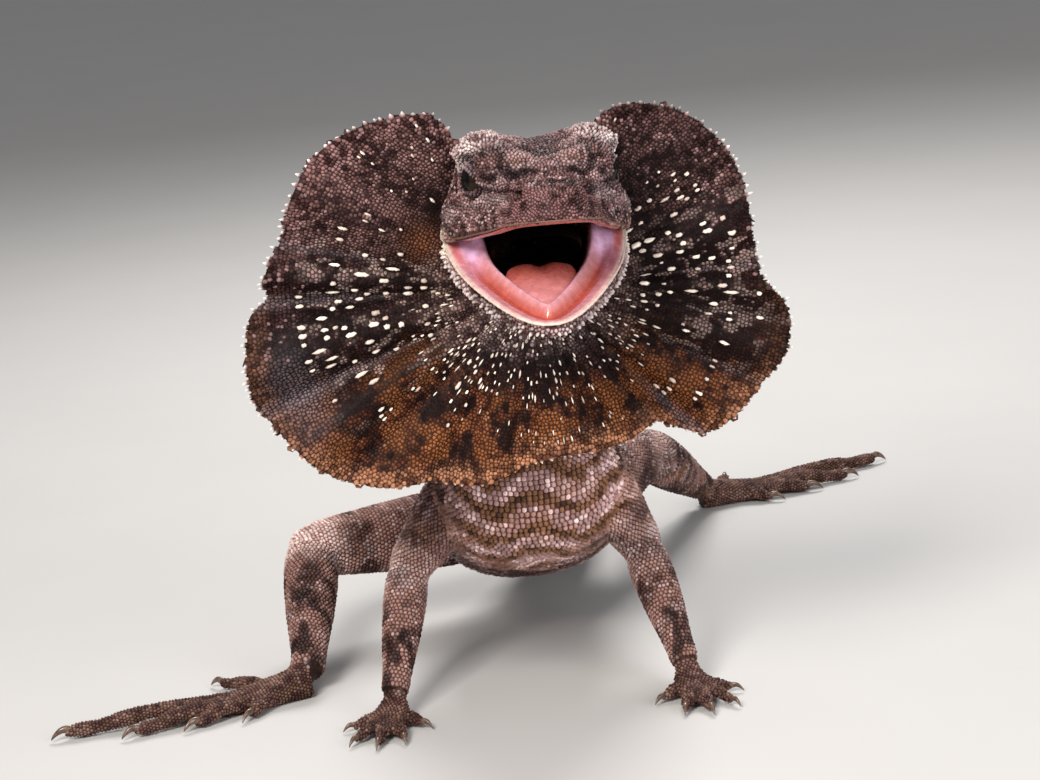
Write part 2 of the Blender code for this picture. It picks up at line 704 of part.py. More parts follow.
def fold_depth(angle):
    return smooth_along(angle, FRILL_FOLDS)


def frill_point(angle, radius):
    """Point of the middle of the membrane."""
    turn = math.radians(angle)
    reach = radius / 50.0
    depth = -FRILL_DISH * reach ** 2 + fold_depth(angle) * reach ** 1.15
    return Vector((FRILL_CENTRE[0] + math.sin(turn) * radius,
                   FRILL_CENTRE[1] + depth,
                   FRILL_CENTRE[2] - math.cos(turn) * radius))


def frill_normal(angle, radius):
    across = frill_point(angle + 0.5, radius) - frill_point(angle - 0.5, radius)
    outward = frill_point(angle, radius + 0.3) - frill_point(angle, radius - 0.3)
    normal = across.cross(outward).normalized()
    return normal if normal.y < 0 else -normal


def half_thickness(index, share):
    """Every third column is a ray, which rises past the root and fades toward the rim."""
    ridge = RAY_HEIGHT * min(1.0, 4 * share) * (1.0 - 0.6 * share) if index % 3 == 1 else 0.0
    return FRILL_THICK / 2 + ridge


def frill_panel(name, first, last):
    columns = int(round((last - first) / FRILL_COLUMN))
    front, back = [], []
    for column in range(columns + 1):
        angle = first + (last - first) * column / columns
        rim = rim_radius(angle)
        for row in range(FRILL_ROWS):
            share = row / (FRILL_ROWS - 1)
            radius = FRILL_ROOT + (rim - FRILL_ROOT) * share ** 0.9
            trim = math.degrees(GAP / 2 / radius)
            shifted = angle + (trim if column == 0 else -trim if column == columns else 0.0)
            centre = frill_point(shifted, radius)
            offset = frill_normal(shifted, radius) * half_thickness(column, share)
            front.append(centre + offset)
            back.append(centre - offset)
    count = len(front)
    faces = []

    def at(column, row, behind):
        return column * FRILL_ROWS + row + (count if behind else 0)

    for column in range(columns):
        for row in range(FRILL_ROWS - 1):
            corners = [(column, row), (column + 1, row), (column + 1, row + 1), (column, row + 1)]
            for picks in ((0, 1, 2), (0, 2, 3)):
                faces.append([at(*corners[pick], False) for pick in picks])
                faces.append([at(*corners[pick], True) for pick in reversed(picks)])
    edge = [(0, row) for row in range(FRILL_ROWS)]
    edge += [(column, FRILL_ROWS - 1) for column in range(1, columns + 1)]
    edge += [(columns, row) for row in range(FRILL_ROWS - 2, -1, -1)]
    edge += [(column, 0) for column in range(columns - 1, 0, -1)]
    for index, start in enumerate(edge):
        end = edge[(index + 1) % len(edge)]
        faces.append([at(*start, False), at(*end, False), at(*end, True)])
        faces.append([at(*start, False), at(*end, True), at(*start, True)])
    return new_object(name, front + back, faces, frill_material(name))


def rim_spine(angle, length, width):
    """Flat tapered cone set in the rim and pointing straight out from it."""
    rim = rim_radius(angle)
    edge = frill_point(angle, rim)
    ahead = frill_point(angle + 0.6, rim_radius(angle + 0.6))
    run = ahead - frill_point(angle - 0.6, rim_radius(angle - 0.6))
    normal = frill_normal(angle, rim - 1.0)
    across = (run - normal * run.dot(normal)).normalized()
    axis = across.cross(normal)
    if axis.dot(edge - Vector(FRILL_CENTRE)) < 0:
        axis = -axis
    root = edge - axis * SPINE_ROOT
    tip = edge + axis * length
    rings = []
    for share, size in ((0.0, 0.8), (0.45, 1.0)):
        centre = root.lerp(tip, share)
        rings.append([centre + across * (math.cos(turn) * width * size / 2)
                      + normal * (math.sin(turn) * width * size * SPINE_DEPTH / 2)
                      for turn in (0.0, math.pi / 2, math.pi, 3 * math.pi / 2)])
    points = [point for ring in rings for point in ring] + [root, tip]
    faces = []
    for side in range(4):
        other = (side + 1) % 4
        faces.append((side, other, 4 + other, 4 + side))
        faces.append((4 + side, 4 + other, 9))
        faces.append((other, side, 8))
    return new_object("spine", points, faces)


def spine_angles(first, last):
    """Angles evenly spaced along the rim."""
    marks = np.linspace(first, last, 600)
    points = np.array([frill_point(mark, rim_radius(mark)) for mark in marks])
    lengths = np.concatenate([[0.0], np.cumsum(np.linalg.norm(np.diff(points, axis=0), axis=1))])
    count = int(lengths[-1] / SPINE_PITCH)
    middles = (np.arange(count) + 0.5) * lengths[-1] / count
    return [float(angle) for angle in np.interp(middles, lengths, marks)]


def build_frill(cutters):
    draw = random.Random(SEED)
    for name, (first, last) in FRILL_PANELS.items():
        panel = frill_panel(name, first, last)
        pieces = []
        for angle in spine_angles(first + 1.0, last - 1.0):
            length = SPINE_LENGTH * draw.uniform(0.75, 1.1)
            if abs(angle) < LOW_RIM:
                length *= LOW_SPINE
            pieces.append(rim_spine(angle, length, SPINE_WIDTH * draw.uniform(0.85, 1.1)))
        fuse(panel, pieces)
        for cutter in cutters:
            cut(panel, grown_copy(cutter, GAP * 1.2))


def stand_on_origin():
    """Move the whole animal so that the middle of its box stands on the origin."""
    corners = np.array([vert.co[:] for obj in bpy.data.objects for vert in obj.data.vertices])
    low, high = corners.min(axis=0), corners.max(axis=0)
    shift = Matrix.Translation((-(low[0] + high[0]) / 2, -(low[1] + high[1]) / 2, -low[2]))
    for obj in bpy.data.objects:
        obj.data.transform(shift)


def main():
    clear_scene()
    plain_head = loft("plain_head", head_rings())
    build_head()
    build_eyes()
    jaw = build_lower_jaw()
    nodes = build_spine_nodes()
    cut(nodes["neck"], grown_copy(plain_head, GAP))
    cut(jaw, grown_copy(plain_head, GAP))
    cut(jaw, grown_copy(nodes["neck"], GAP))
    build_tongue(jaw)
    build_limbs(nodes)
    build_frill([plain_head, jaw, nodes["neck"]])
    bpy.data.objects.remove(plain_head, do_unlink=True)
    stand_on_origin()


main()
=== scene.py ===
import math
import bmesh
import bpy
import numpy as np
from mathutils import Matrix, Vector
from mathutils.bvhtree import BVHTree
from mathutils.kdtree import KDTree


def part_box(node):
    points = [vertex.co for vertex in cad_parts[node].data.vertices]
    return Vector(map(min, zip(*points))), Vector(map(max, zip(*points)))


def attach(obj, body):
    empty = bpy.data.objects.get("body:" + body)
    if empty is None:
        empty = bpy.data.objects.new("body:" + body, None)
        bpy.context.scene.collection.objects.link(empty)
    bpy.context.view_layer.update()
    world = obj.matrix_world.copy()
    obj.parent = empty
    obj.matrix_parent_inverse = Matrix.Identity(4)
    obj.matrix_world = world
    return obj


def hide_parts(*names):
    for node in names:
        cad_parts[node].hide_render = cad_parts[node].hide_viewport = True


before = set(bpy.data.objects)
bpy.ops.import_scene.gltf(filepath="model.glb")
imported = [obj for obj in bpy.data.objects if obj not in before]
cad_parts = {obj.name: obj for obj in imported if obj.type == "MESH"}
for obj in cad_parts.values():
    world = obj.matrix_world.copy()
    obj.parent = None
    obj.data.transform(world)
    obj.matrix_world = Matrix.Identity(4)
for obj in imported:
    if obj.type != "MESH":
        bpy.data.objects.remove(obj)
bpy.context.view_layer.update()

mm = 0.001

# Sizes are millimetres in the animal's own frame: the hinge of the jaws is above its origin, it
# faces -Y and its left side is +X. "home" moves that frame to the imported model's.


# curves and noise
def curveThrough(rows, place):
    rows = np.asarray(rows, float)
    rows = rows[:, None] if rows.ndim == 1 else rows
    last = len(rows) - 1
    padded = np.vstack([2 * rows[0] - rows[1], rows, 2 * rows[-1] - rows[-2]])
    place = np.clip(np.asarray(place, float), 0, last)
    index = np.minimum(place.astype(int), last - 1)
    t = (place - index)[..., None]
    a, b, c, d = (padded[index + k] for k in range(4))
    return 0.5 * (2 * b + (c - a) * t + (2 * a - 5 * b + 4 * c - d) * t ** 2
                  + (3 * b - a - 3 * c + d) * t ** 3)


def evenly(rows, count):
    return curveThrough(rows, np.linspace(0, len(rows) - 1, count))


def along(value, pairs):
    pairs = np.asarray(pairs, float)
    keys, value = pairs[:, 0], np.asarray(value, float)
    index = np.clip(np.searchsorted(keys, value) - 1, 0, len(keys) - 2)
    share = np.clip((value - keys[index]) / (keys[index + 1] - keys[index]), 0, 1)
    return curveThrough(pairs[:, 1], index + share)[..., 0]


def ease(low, high, value):
    t = np.clip((np.asarray(value, float) - low) / (high - low), 0, 1)
    return t * t * (3 - 2 * t)


def bump(value, middle, reach):
    return np.exp(-((np.asarray(value, float) - middle) / reach) ** 2)


def unit(vectors):
    return vectors / np.maximum(np.linalg.norm(vectors, axis=-1, keepdims=True), 1e-9)


def runLengths(path):
    # length along a path up to each of its points
    return np.concatenate([[0], np.cumsum(np.linalg.norm(np.diff(path, axis=0), axis=1))])


def noise(points, size, seed=1, octaves=3):
    total, weight, whole = 0.0, 1.0, 0.0
    for octave in range(octaves):
        spot = np.asarray(points, float) / size * 2 ** octave + 31.7 * (seed + octave)
        cell = np.floor(spot).astype(np.int64)
        t = spot - cell
        t = t * t * (3 - 2 * t)
        value = 0.0
        for corner in range(8):
            pick = np.array([corner & 1, corner >> 1 & 1, corner >> 2 & 1])
            x, y, z = np.moveaxis(cell + pick, -1, 0)
            code = (x * 73856093) ^ (y * 19349663) ^ (z * 83492791) ^ (seed * 2654435)
            code = (code ^ (code >> 13)) * 1274126177 & 0xFFFFFF
            share = np.where(pick == 1, t, 1 - t).prod(axis=-1)
            value = value + share * (code % 65521) / 65520.0
        total, whole, weight = total + weight * value, whole + weight, weight * 0.5
    return total / whole


def mixed(first, second, share):
    share = np.asarray(share, float)[..., None]
    return np.asarray(first, float) * (1 - share) + np.asarray(second, float) * share


# head and jaws
headShape = {
    "place": (0.0, 0.0, 107.0), "yaw": 6.0, "jawYaw": 2.5, "pitch": 11.0, "roll": 2.6, "gape": 27.2,
    "width": [(-9, 15.5), (-4, 17.3), (0, 18.1), (6, 17.9), (12, 16.8), (18, 15.0), (24, 12.9),
              (29, 11.0), (33, 9.4), (36, 7.6), (38.5, 4.8), (40, 1.8)],
    "browWidth": [(-9, 10.5), (-4, 12.0), (0, 13.0), (6, 14.0), (12, 14.4), (18, 13.6), (22, 11.6),
                  (26, 9.2), (30, 7.4), (34, 6.0), (37, 4.4), (39, 2.6), (40, 1.2)],
    "browHeight": [(-9, 14.2), (-4, 16.2), (0, 17.2), (6, 18.2), (12, 19.2), (17, 18.8), (21, 17.0),
                   (25, 15.2), (29, 12.6), (32, 9.8), (36, 7.6), (38.5, 5.4), (40, 3.0)],
    "crown": [(-9, 14.0), (-4, 16.0), (0, 17.2), (6, 18.2), (12, 18.4), (17, 17.4), (21, 15.8),
              (25, 14.0), (29, 11.8), (32, 9.6), (36, 7.6), (38.5, 5.4), (40, 3.0)],
    "section": [(0.88, 0.0), (0.97, -0.03), (1.0, 0.03), (0.99, 0.13), (0.975, 0.25), (0.965, 0.38),
                (0.96, 0.52), (0.965, 0.66), (0.99, 0.79), (0.985, 0.9), (0.86, 0.985), (0.62, 1.0),
                (0.38, 0.975), (0.16, 0.945), (0.0, 0.935)],
    # side, forward, up, reaches, height: swellings and hollows, the same on both sides
    "forms": [(8.8, 9.0, 19.5, 4.5, 6.0, 3.0, 0.1), (8.6, 17.0, 18.2, 4.2, 6.0, 3.5, 0.25),
              (9.2, 23.6, 15.8, 3.4, 3.0, 2.4, 0.6), (13.2, 17.5, 14.8, 2.4, 6.5, 1.9, 1.5),
              (11.2, 23.8, 12.4, 2.8, 3.0, 3.2, 1.6), (5.6, 28.4, 12.8, 3.4, 1.8, 1.4, 1.0),
              (5.6, 30.9, 9.9, 2.9, 1.7, 1.2, -0.9), (0.0, 29.0, 12.0, 1.6, 5.0, 3.0, 0.4),
              (11.4, 25.6, 9.7, 2.6, 3.4, 1.4, 1.7), (10.6, 26.8, 7.6, 3.2, 4.2, 0.6, -1.3),
              (7.3, 32.9, 6.9, 1.7, 2.2, 0.6, -0.7), (12.9, 22.0, 5.9, 2.4, 3.2, 1.1, 1.1),
              (13.2, 22.0, 4.3, 3.0, 4.5, 0.6, -0.6), (8.6, 32.8, 5.6, 2.0, 2.4, 1.6, 0.7),
              (14.6, 12.0, 4.6, 3.5, 6.0, 2.0, 0.7), (11.6, 29.6, 5.6, 2.0, 1.8, 1.4, -0.6),
              (0.0, 13.0, 18.5, 3.4, 10.0, 3.0, -0.5), (0.0, 22.0, 16.0, 2.8, 4.0, 3.0, -0.6),
              (15.0, 10.5, 8.5, 2.0, 3.5, 0.7, -0.7), (4.0, 22.5, 16.5, 2.0, 0.7, 2.0, -0.5),
              (16.8, 5.0, 5.0, 4.5, 7.0, 5.0, 1.3), (8.0, 32.5, 6.3, 1.0, 1.6, 0.85, -2.4)],
    # width, height and path (side, forward, up): creases where the height is below zero, ridges above
    "lines": [(0.75, -2.3, [(12.8, 22.5, 8.6), (11.0, 26.5, 7.3), (9.0, 30.0, 6.6), (7.0, 33.5, 6.0)]),
              (0.8, 1.8, [(14.6, 19.0, 12.2), (13.8, 21.5, 10.2), (12.4, 24.0, 8.9), (9.8, 28.0, 8.0),
                          (8.4, 29.5, 9.2), (9.0, 28.5, 10.8)]),
              (0.6, -1.6, [(12.4, 22.0, 12.2), (11.3, 25.0, 10.2), (10.3, 27.0, 9.3), (9.4, 28.0, 9.7)]),
              (1.2, 1.3, [(8.0, 28.2, 13.2), (5.8, 28.5, 14.0), (3.4, 28.5, 13.5), (2.8, 29.0, 12.2)]),
              (0.9, -1.6, [(8.6, 26.5, 15.6), (8.5, 27.5, 14.0), (8.8, 28.5, 12.0), (8.0, 29.5, 10.6)]),
              (0.8, -1.2, [(8.0, 29.8, 10.2), (6.2, 30.8, 9.7), (4.2, 31.0, 10.6), (2.2, 31.0, 10.9)]),
              (0.7, -1.2, [(11.2, 8.0, 18.6), (12.8, 14.0, 16.8), (12.6, 19.5, 15.0), (10.8, 23.5, 14.2)]),
              (0.6, 0.9, [(14.6, 11.0, 15.4), (15.0, 16.0, 14.2), (14.2, 20.0, 12.8)]),
              (0.5, -0.8, [(17.0, 8.0, 7.6), (16.2, 13.5, 6.0), (14.6, 18.5, 4.9), (12.4, 23.5, 4.4)]),
              (0.45, -0.6, [(17.2, 6.0, 5.0), (16.6, 12.0, 3.6), (15.2, 18.0, 2.8), (13.0, 24.0, 2.6)]),
              (0.45, -0.5, [(6.6, 35.0, 6.6), (5.0, 33.5, 8.4), (2.6, 32.5, 9.2)]),
              (0.4, -0.5, [(13.6, 19.0, 6.8), (12.6, 22.0, 6.9), (11.6, 24.5, 6.3)]),
              (0.7, -1.0, [(3.0, 24.0, 15.8), (4.4, 26.0, 15.0), (6.4, 26.0, 15.4), (7.4, 23.5, 16.8)]),
              (0.5, -0.8, [(2.2, 29.5, 12.0), (2.6, 31.5, 9.8), (4.4, 33.0, 8.0), (4.6, 35.0, 6.2)]),
              (0.4, -0.5, [(13.6, 19.5, 5.4), (12.4, 23.0, 5.4), (10.8, 27.0, 5.0)])],
    "jawWidth": [(-7, 15.5), (-1, 17.4), (4, 17.6), (10, 16.9), (16, 15.6), (22, 13.5), (28, 10.8),
                 (32, 8.6), (36, 6.0), (38.5, 3.6), (39.6, 1.4)],
    "jawDepth": [(-7, 10.0), (-1, 9.5), (4, 9.0), (10, 8.0), (16, 7.0), (22, 6.0), (28, 5.2),
                 (32, 4.6), (36, 4.0), (38.5, 3.2), (39.6, 2.0)],
    "jawSection": [(1.0, 0.0), (1.01, 0.14), (1.0, 0.35), (0.88, 0.68), (0.6, 0.92), (0.3, 1.0), (0.0, 1.02)],
}
eyeShape = {"radius": 3.8, "place": (11.3, 17.0, 10.4), "axis": (1.0, 0.36, -0.03), "long": 3.2,
            "high": 2.0, "tilt": 28.0,
            # how far the lids stand off the ball, by the ring round the opening
            "lids": [(0.0, -1.0), (0.9, -0.9), (1.0, 0.25), (1.15, 0.75), (1.35, 0.7), (1.5, 0.3), (1.62, 0.25),
                     (1.8, 0.65), (1.95, 0.6), (2.1, 0.35), (2.3, 0.5), (2.6, 0.4)]}


def headFrame(yaw, drop):
    turn = Matrix.Rotation(math.radians(yaw), 4, 'Z')
    roll = Matrix.Rotation(math.radians(headShape["roll"]), 4, 'Y')
    pitch = Matrix.Rotation(math.radians(drop - headShape["pitch"]), 4, 'X')
    place = Matrix.Translation(headShape["place"]) @ turn @ roll @ pitch
    return np.array(place @ Matrix.Diagonal((1.0, -1.0, 1.0, 1.0)))


palateFrame = headFrame(headShape["yaw"], 0.0)
jawFrame = headFrame(headShape["jawYaw"], headShape["gape"])


def placed(frame4, points):
    return np.asarray(points, float) @ frame4[:3, :3].T + frame4[:3, 3]


def localTo(frame4, points):
    return (np.asarray(points, float) - frame4[:3, 3]) @ np.linalg.inv(frame4[:3, :3]).T


eyeLow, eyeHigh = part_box("eye_left")
home = np.array((eyeLow + eyeHigh) / 2) / mm - placed(palateFrame, eyeShape["place"])


# meshes
def newPiece(name, points, faces, material=None, smooth=True):
    # a row of corners for each face, all rows of one length
    mesh = bpy.data.meshes.new(name)
    points = (np.asarray(points, float) + home) * mm
    count, corners = faces.shape
    mesh.vertices.add(len(points))
    mesh.vertices.foreach_set("co", points.ravel())
    mesh.loops.add(count * corners)
    mesh.loops.foreach_set("vertex_index", faces.ravel().astype(np.int32))
    mesh.polygons.add(count)
    mesh.polygons.foreach_set("loop_start", np.arange(count, dtype=np.int32) * corners)
    mesh.update(calc_edges=True)
    piece = bpy.data.objects.new(name, mesh)
    bpy.context.scene.collection.objects.link(piece)
    if material:
        mesh.materials.append(material)
    if smooth:
        mesh.shade_smooth()
    return piece


def sheetFaces(rows, columns, closed=False, start=0):
    wrap = columns if closed else columns - 1
    row, column = np.meshgrid(np.arange(rows - 1), np.arange(wrap), indexing="ij")
    here = start + row * columns + column
    beside = start + row * columns + (column + 1) % columns
    return np.stack([here, beside, beside + columns, here + columns], axis=-1).reshape(-1, 4)


def closedLoft(grid, start=0):
    # rings to a closed solid of triangles, with a fan at both ends
    rows, columns = grid.shape[:2]
    points = np.vstack([grid.reshape(-1, 3), grid[0].mean(axis=0), grid[-1].mean(axis=0)])
    faces = sheetFaces(rows, columns, True, start)
    ring = np.arange(columns)
    other = (ring + 1) % columns
    first, last = start + rows * columns, start + rows * columns + 1
    caps = [np.stack([np.full(columns, first), start + other, start + ring], axis=-1),
            np.stack([np.full(columns, last), start + (rows - 1) * columns + ring,
                      start + (rows - 1) * columns + other], axis=-1)]
    tris = np.vstack([faces[:, [0, 1, 2]], faces[:, [0, 2, 3]]] + caps)
    return points, tris


def joinedLofts(grids):
    points, faces, start = [], [], 0
    for grid in grids:
        some, corners = closedLoft(grid, start)
        points.append(some)
        faces.append(corners)
        start += len(some)
    return np.vstack(points), np.vstack(faces)


def joinedForms(name, grids):
    # closed forms in one mesh, each facing outward
    piece = newPiece(name, *joinedLofts(grids))
    work = bmesh.new()
    work.from_mesh(piece.data)
    bmesh.ops.recalc_face_normals(work, faces=work.faces)
    work.to_mesh(piece.data)
    work.free()
    return piece


def remeshed(piece, voxel, smoothing):
    shape = piece.modifiers.new("skin", 'REMESH')
    shape.mode = 'VOXEL'
    shape.voxel_size = voxel * mm
    soft = piece.modifiers.new("soften", 'SMOOTH')
    soft.factor = 0.5
    soft.iterations = smoothing
    settle(piece)


def settle(piece):
    graph = bpy.context.evaluated_depsgraph_get()
    fresh = bpy.data.meshes.new_from_object(piece.evaluated_get(graph))
    piece.modifiers.clear()
    old = piece.data
    piece.data = fresh
    bpy.data.meshes.remove(old)


def ofVertices(piece, field):
    flat = np.empty(len(piece.data.vertices) * 3)
    piece.data.vertices.foreach_get(field, flat)
    return flat.reshape(-1, 3)


def meshPoints(piece):
    return ofVertices(piece, "co") / mm - home


def setPoints(piece, points):
    piece.data.vertices.foreach_set("co", ((points + home) * mm).ravel())
    piece.data.update()


def giveColour(piece, colours):
    rgba = np.ones((len(colours), 4), np.float32)
    rgba[:, :3] = colours
    piece.data.attributes.new("tone", 'FLOAT_COLOR', 'POINT').data.foreach_set("color", rgba.ravel())


def giveValue(piece, name, values):
    spread = np.ascontiguousarray(values, np.float32)
    piece.data.attributes.new(name, 'FLOAT', 'POINT').data.foreach_set("value", spread)


def giveUnwrap(piece, uv):
    layer = piece.data.uv_layers.new(name="OFBake")
    corner = np.empty(len(piece.data.loops), np.int32)
    piece.data.loops.foreach_get("vertex_index", corner)
    layer.data.foreach_set("uv", np.asarray(uv, np.float32)[corner].ravel())


# materials
class Wire:
    def __init__(self, tree, socket):
        self.tree, self.socket = tree, socket

    def maths(self, operation, *others):
        node = self.tree.nodes.new("ShaderNodeMath")
        node.operation = operation
        for index, value in enumerate(others):
            if isinstance(value, Wire):
                self.tree.links.new(value.socket, node.inputs[index])
            else:
                node.inputs[index].default_value = value
        return Wire(self.tree, node.outputs[0])

    def __add__(self, other):
        return self.maths('ADD', self, other)

    def __sub__(self, other):
        return self.maths('SUBTRACT', self, other)

    def __mul__(self, other):
        return self.maths('MULTIPLY', self, other)

    def __rsub__(self, other):
        return self.maths('SUBTRACT', other, self)

    __radd__, __rmul__ = __add__, __mul__


class Paint:
    def __init__(self, name, roughness=0.5, **constants):
        self.material = bpy.data.materials.new(name)
        self.material.use_nodes = True
        self.tree = self.material.node_tree
        self.shader = self.tree.nodes["Principled BSDF"]
        self.shader.inputs["Roughness"].default_value = roughness
        for socket, value in constants.items():
            self.shader.inputs[socket.replace("_", " ")].default_value = value

    def node(self, kind, settings=None, output=0, **sockets):
        node = self.tree.nodes.new("ShaderNode" + kind)
        for setting, value in (settings or {}).items():
            if setting == "stops":
                while len(node.color_ramp.elements) < len(value):
                    node.color_ramp.elements.new(0.5)
                for stop, (place, colour) in zip(node.color_ramp.elements, value):
                    stop.position, stop.color = place, colour
            else:
                setattr(node, setting, value)
        for socket, value in sockets.items():
            name = socket.replace("_", " ")
            target = node.inputs[int(name[1:])] if name[1:].isdigit() else node.inputs[name]
            if isinstance(value, Wire):
                self.tree.links.new(value.socket, target)
            else:
                target.default_value = value
        return Wire(self.tree, node.outputs[output])

    def attribute(self, name, value=False):
        return self.node("Attribute", {"attribute_name": name}, "Fac" if value else "Color")

    def grain(self, size, detail=3.0, rough=0.55):
        place = self.node("TexCoord", output="Object")
        return self.node("TexNoise", None, "Fac", Vector=place, Scale=1.0 / (size * mm),
                         Detail=detail, Roughness=rough)

    def span(self, value, low, high, first=0.0, last=1.0):
        return self.node("MapRange", {"interpolation_type": 'SMOOTHSTEP'}, 0, Value=value,
                         From_Min=low, From_Max=high, To_Min=first, To_Max=last)

    def blend(self, share, first, second, how='MIX'):
        colours = [value if isinstance(value, Wire) else (*value, 1.0) for value in (first, second)]
        return self.node("Mix", {"data_type": 'RGBA', "blend_type": how}, 2, _0=share,
                         _6=colours[0], _7=colours[1])

    def done(self, colour, roughness=None, height=None, depth=0.1):
        for socket, value in (("Base Color", colour), ("Roughness", roughness)):
            if value is not None:
                self.tree.links.new(value.socket, self.shader.inputs[socket])
        if height is not None:
            normal = self.node("Bump", None, 0, Strength=1.0, Distance=depth * mm, Height=height)
            self.tree.links.new(normal.socket, self.shader.inputs["Normal"])
        return self.material


def scalePaint(name, roughness=0.5, gap=(0.22, 0.15, 0.15), gloss=0.12):
    # each scale has its own tone, with painted shade darkening its foot and its crest left paler; gap is the colour
    # of that painted shade
    paint = Paint(name, roughness, Specular_IOR_Level=gloss)
    tone, crest = paint.attribute("tone"), paint.attribute("crest", True)
    speck = paint.grain(0.35, 4.0, 0.6)
    # painted shade at the foot of each scale, fading out towards its crest
    shaded = paint.blend(paint.span(crest, 0.0, 0.75), gap, (1.0, 1.0, 1.0))
    lit = paint.blend(1.0, tone, shaded, 'MULTIPLY')
    lit = paint.blend(paint.span(speck, 0.35, 0.7), lit, paint.blend(1.0, lit, (1.35, 1.3, 1.28), 'MULTIPLY'))
    rough = paint.span(paint.grain(0.8), 0.3, 0.7, roughness - 0.1, roughness + 0.14)
    return paint.done(lit, rough, paint.grain(0.12, 3.0), 0.03)


def skinPaint():
    # the skin seen between the scales: its tone darkened to 0.16-0.45 with fine noise, as painted shade in the gaps
    paint = Paint("shaded_skin_between_scales", 0.6, Specular_IOR_Level=0.12)
    tone = paint.attribute("tone")
    fine = paint.span(paint.grain(0.5, 4.0), 0.3, 0.75)
    colour = paint.blend(1.0, tone, paint.blend(fine, (0.16, 0.12, 0.12), (0.45, 0.4, 0.39)), 'MULTIPLY')
    return paint.done(colour, paint.span(fine, 0.0, 1.0, 0.5, 0.72), paint.grain(0.3, 4.0), 0.08)


def wetPaint(name, roughness=0.22, pores=0.35, depth=0.09, **constants):
    paint = Paint(name, roughness, Subsurface_Weight=0.25, Subsurface_Scale=0.0012, Coat_Roughness=0.08,
                  **constants)
    tone = paint.attribute("tone")
    patch = paint.span(paint.grain(1.6, 4.0), 0.32, 0.7)
    colour = paint.blend(1.0, tone, paint.blend(patch, (0.86, 0.78, 0.76), (1.08, 1.06, 1.06)), 'MULTIPLY')
    rough = paint.span(paint.grain(0.9, 3.0), 0.3, 0.7, roughness - 0.08, roughness + 0.16)
    return paint.done(colour, rough, paint.grain(pores, 3.0), depth)


# camera, at the photograph's angle
view = {"pitch": 13.0, "roll": 6.0, "distance": 620.0, "aim": (0.0, 0.0, 107.0), "at": (533.5, 231.0),
        "focal": 3162.0, "frame": (1040, 780), "sensor": 36.0}


def placeCamera():
    pitch, roll = math.radians(view["pitch"]), math.radians(view["roll"])
    right0, up0 = np.array((1.0, 0, 0)), np.array((0, math.sin(pitch), math.cos(pitch)))
    ahead = np.array((0, math.cos(pitch), -math.sin(pitch)))
    right = math.cos(roll) * right0 - math.sin(roll) * up0
    up = math.sin(roll) * right0 + math.cos(roll) * up0
    wide, high = view["frame"]
    across = (view["at"][0] - wide / 2) / view["focal"]
    upward = (high / 2 - view["at"][1]) / view["focal"]
    place = np.array(view["aim"]) - view["distance"] * (ahead + across * right + upward * up)
    camera = bpy.data.cameras.new("camera")
    camera.sensor_width = view["sensor"]
    camera.lens = view["sensor"] * view["focal"] / wide
    camera.clip_start = 0.01
    holder = bpy.data.objects.new("camera", camera)
    matrix = np.eye(4)
    matrix[:3, :3] = np.stack([right, up, -ahead], axis=-1)
    matrix[:3, 3] = (place + home) * mm
    holder.matrix_world = Matrix(matrix.tolist())
    bpy.context.scene.collection.objects.link(holder)
    bpy.context.scene.camera = holder


placeCamera()
print("camera placed")


# mouth: one profile over the distance from the lip gives the gums their bands
mouthShape = {
    # distance from the lip's edge: height above the lip's plane
    "gum": [(0.0, 0.0), (0.5, 0.25), (1.2, 0.15), (2.4, -0.25), (3.4, -0.9), (4.4, -1.1), (5.5, 0.0),
            (6.5, 0.75), (7.5, -0.4), (8.8, -2.6), (11.0, -3.4), (18.0, -3.8)],
    # colours by distance from the lip: the gums' bands, then from 9 mm inward darker to near black as painted shade
    # deep in the mouth
    "colours": [(0.0, (0.66, 0.46, 0.38)), (0.5, (0.72, 0.46, 0.44)), (1.1, (0.70, 0.32, 0.37)),
                (2.2, (0.66, 0.25, 0.29)), (2.9, (0.55, 0.14, 0.13)), (3.9, (0.46, 0.085, 0.06)),
                (4.8, (0.48, 0.10, 0.075)), (5.6, (0.58, 0.22, 0.21)), (6.4, (0.64, 0.34, 0.40)),
                (7.4, (0.52, 0.18, 0.19)), (9.0, (0.28, 0.05, 0.04)), (12.0, (0.12, 0.015, 0.012)),
                (18.0, (0.04, 0.005, 0.004))],
    "cushion": {"side": 12.4, "forward": 5.0, "reach": (3.3, 6.5), "height": 3.7},
}


def lipDistance(x, forward, pairs, first, last):
    # plan distance to the lip's edge
    marks = np.linspace(first, last, 240)
    lip = np.stack([along(marks, pairs), marks], axis=-1)
    lip = np.vstack([lip, np.stack([np.linspace(lip[-1, 0], 0, 8), np.full(8, last)], axis=-1)])
    spots = np.stack([np.abs(x), forward], axis=-1).reshape(-1, 2)
    gaps = np.empty(len(spots))
    for start in range(0, len(spots), 4000):
        part = spots[start:start + 4000]
        gaps[start:start + 4000] = np.linalg.norm(part[:, None] - lip[None], axis=-1).min(axis=1)
    return gaps.reshape(np.shape(x))


def jawFloor(x, forward):
    edge = lipDistance(x, forward, headShape["jawWidth"], -7.0, 39.6)
    height = along(edge, mouthShape["gum"])
    shape = mouthShape["cushion"]
    mound = bump(np.abs(x), shape["side"], shape["reach"][0])
    mound = mound * bump(forward, shape["forward"], shape["reach"][1])
    height = height + shape["height"] * mound
    throat = ease(16.0, 8.0, forward) * ease(7.0, 10.0, edge)
    height = height - 4.5 * throat
    return height, edge, mound, throat


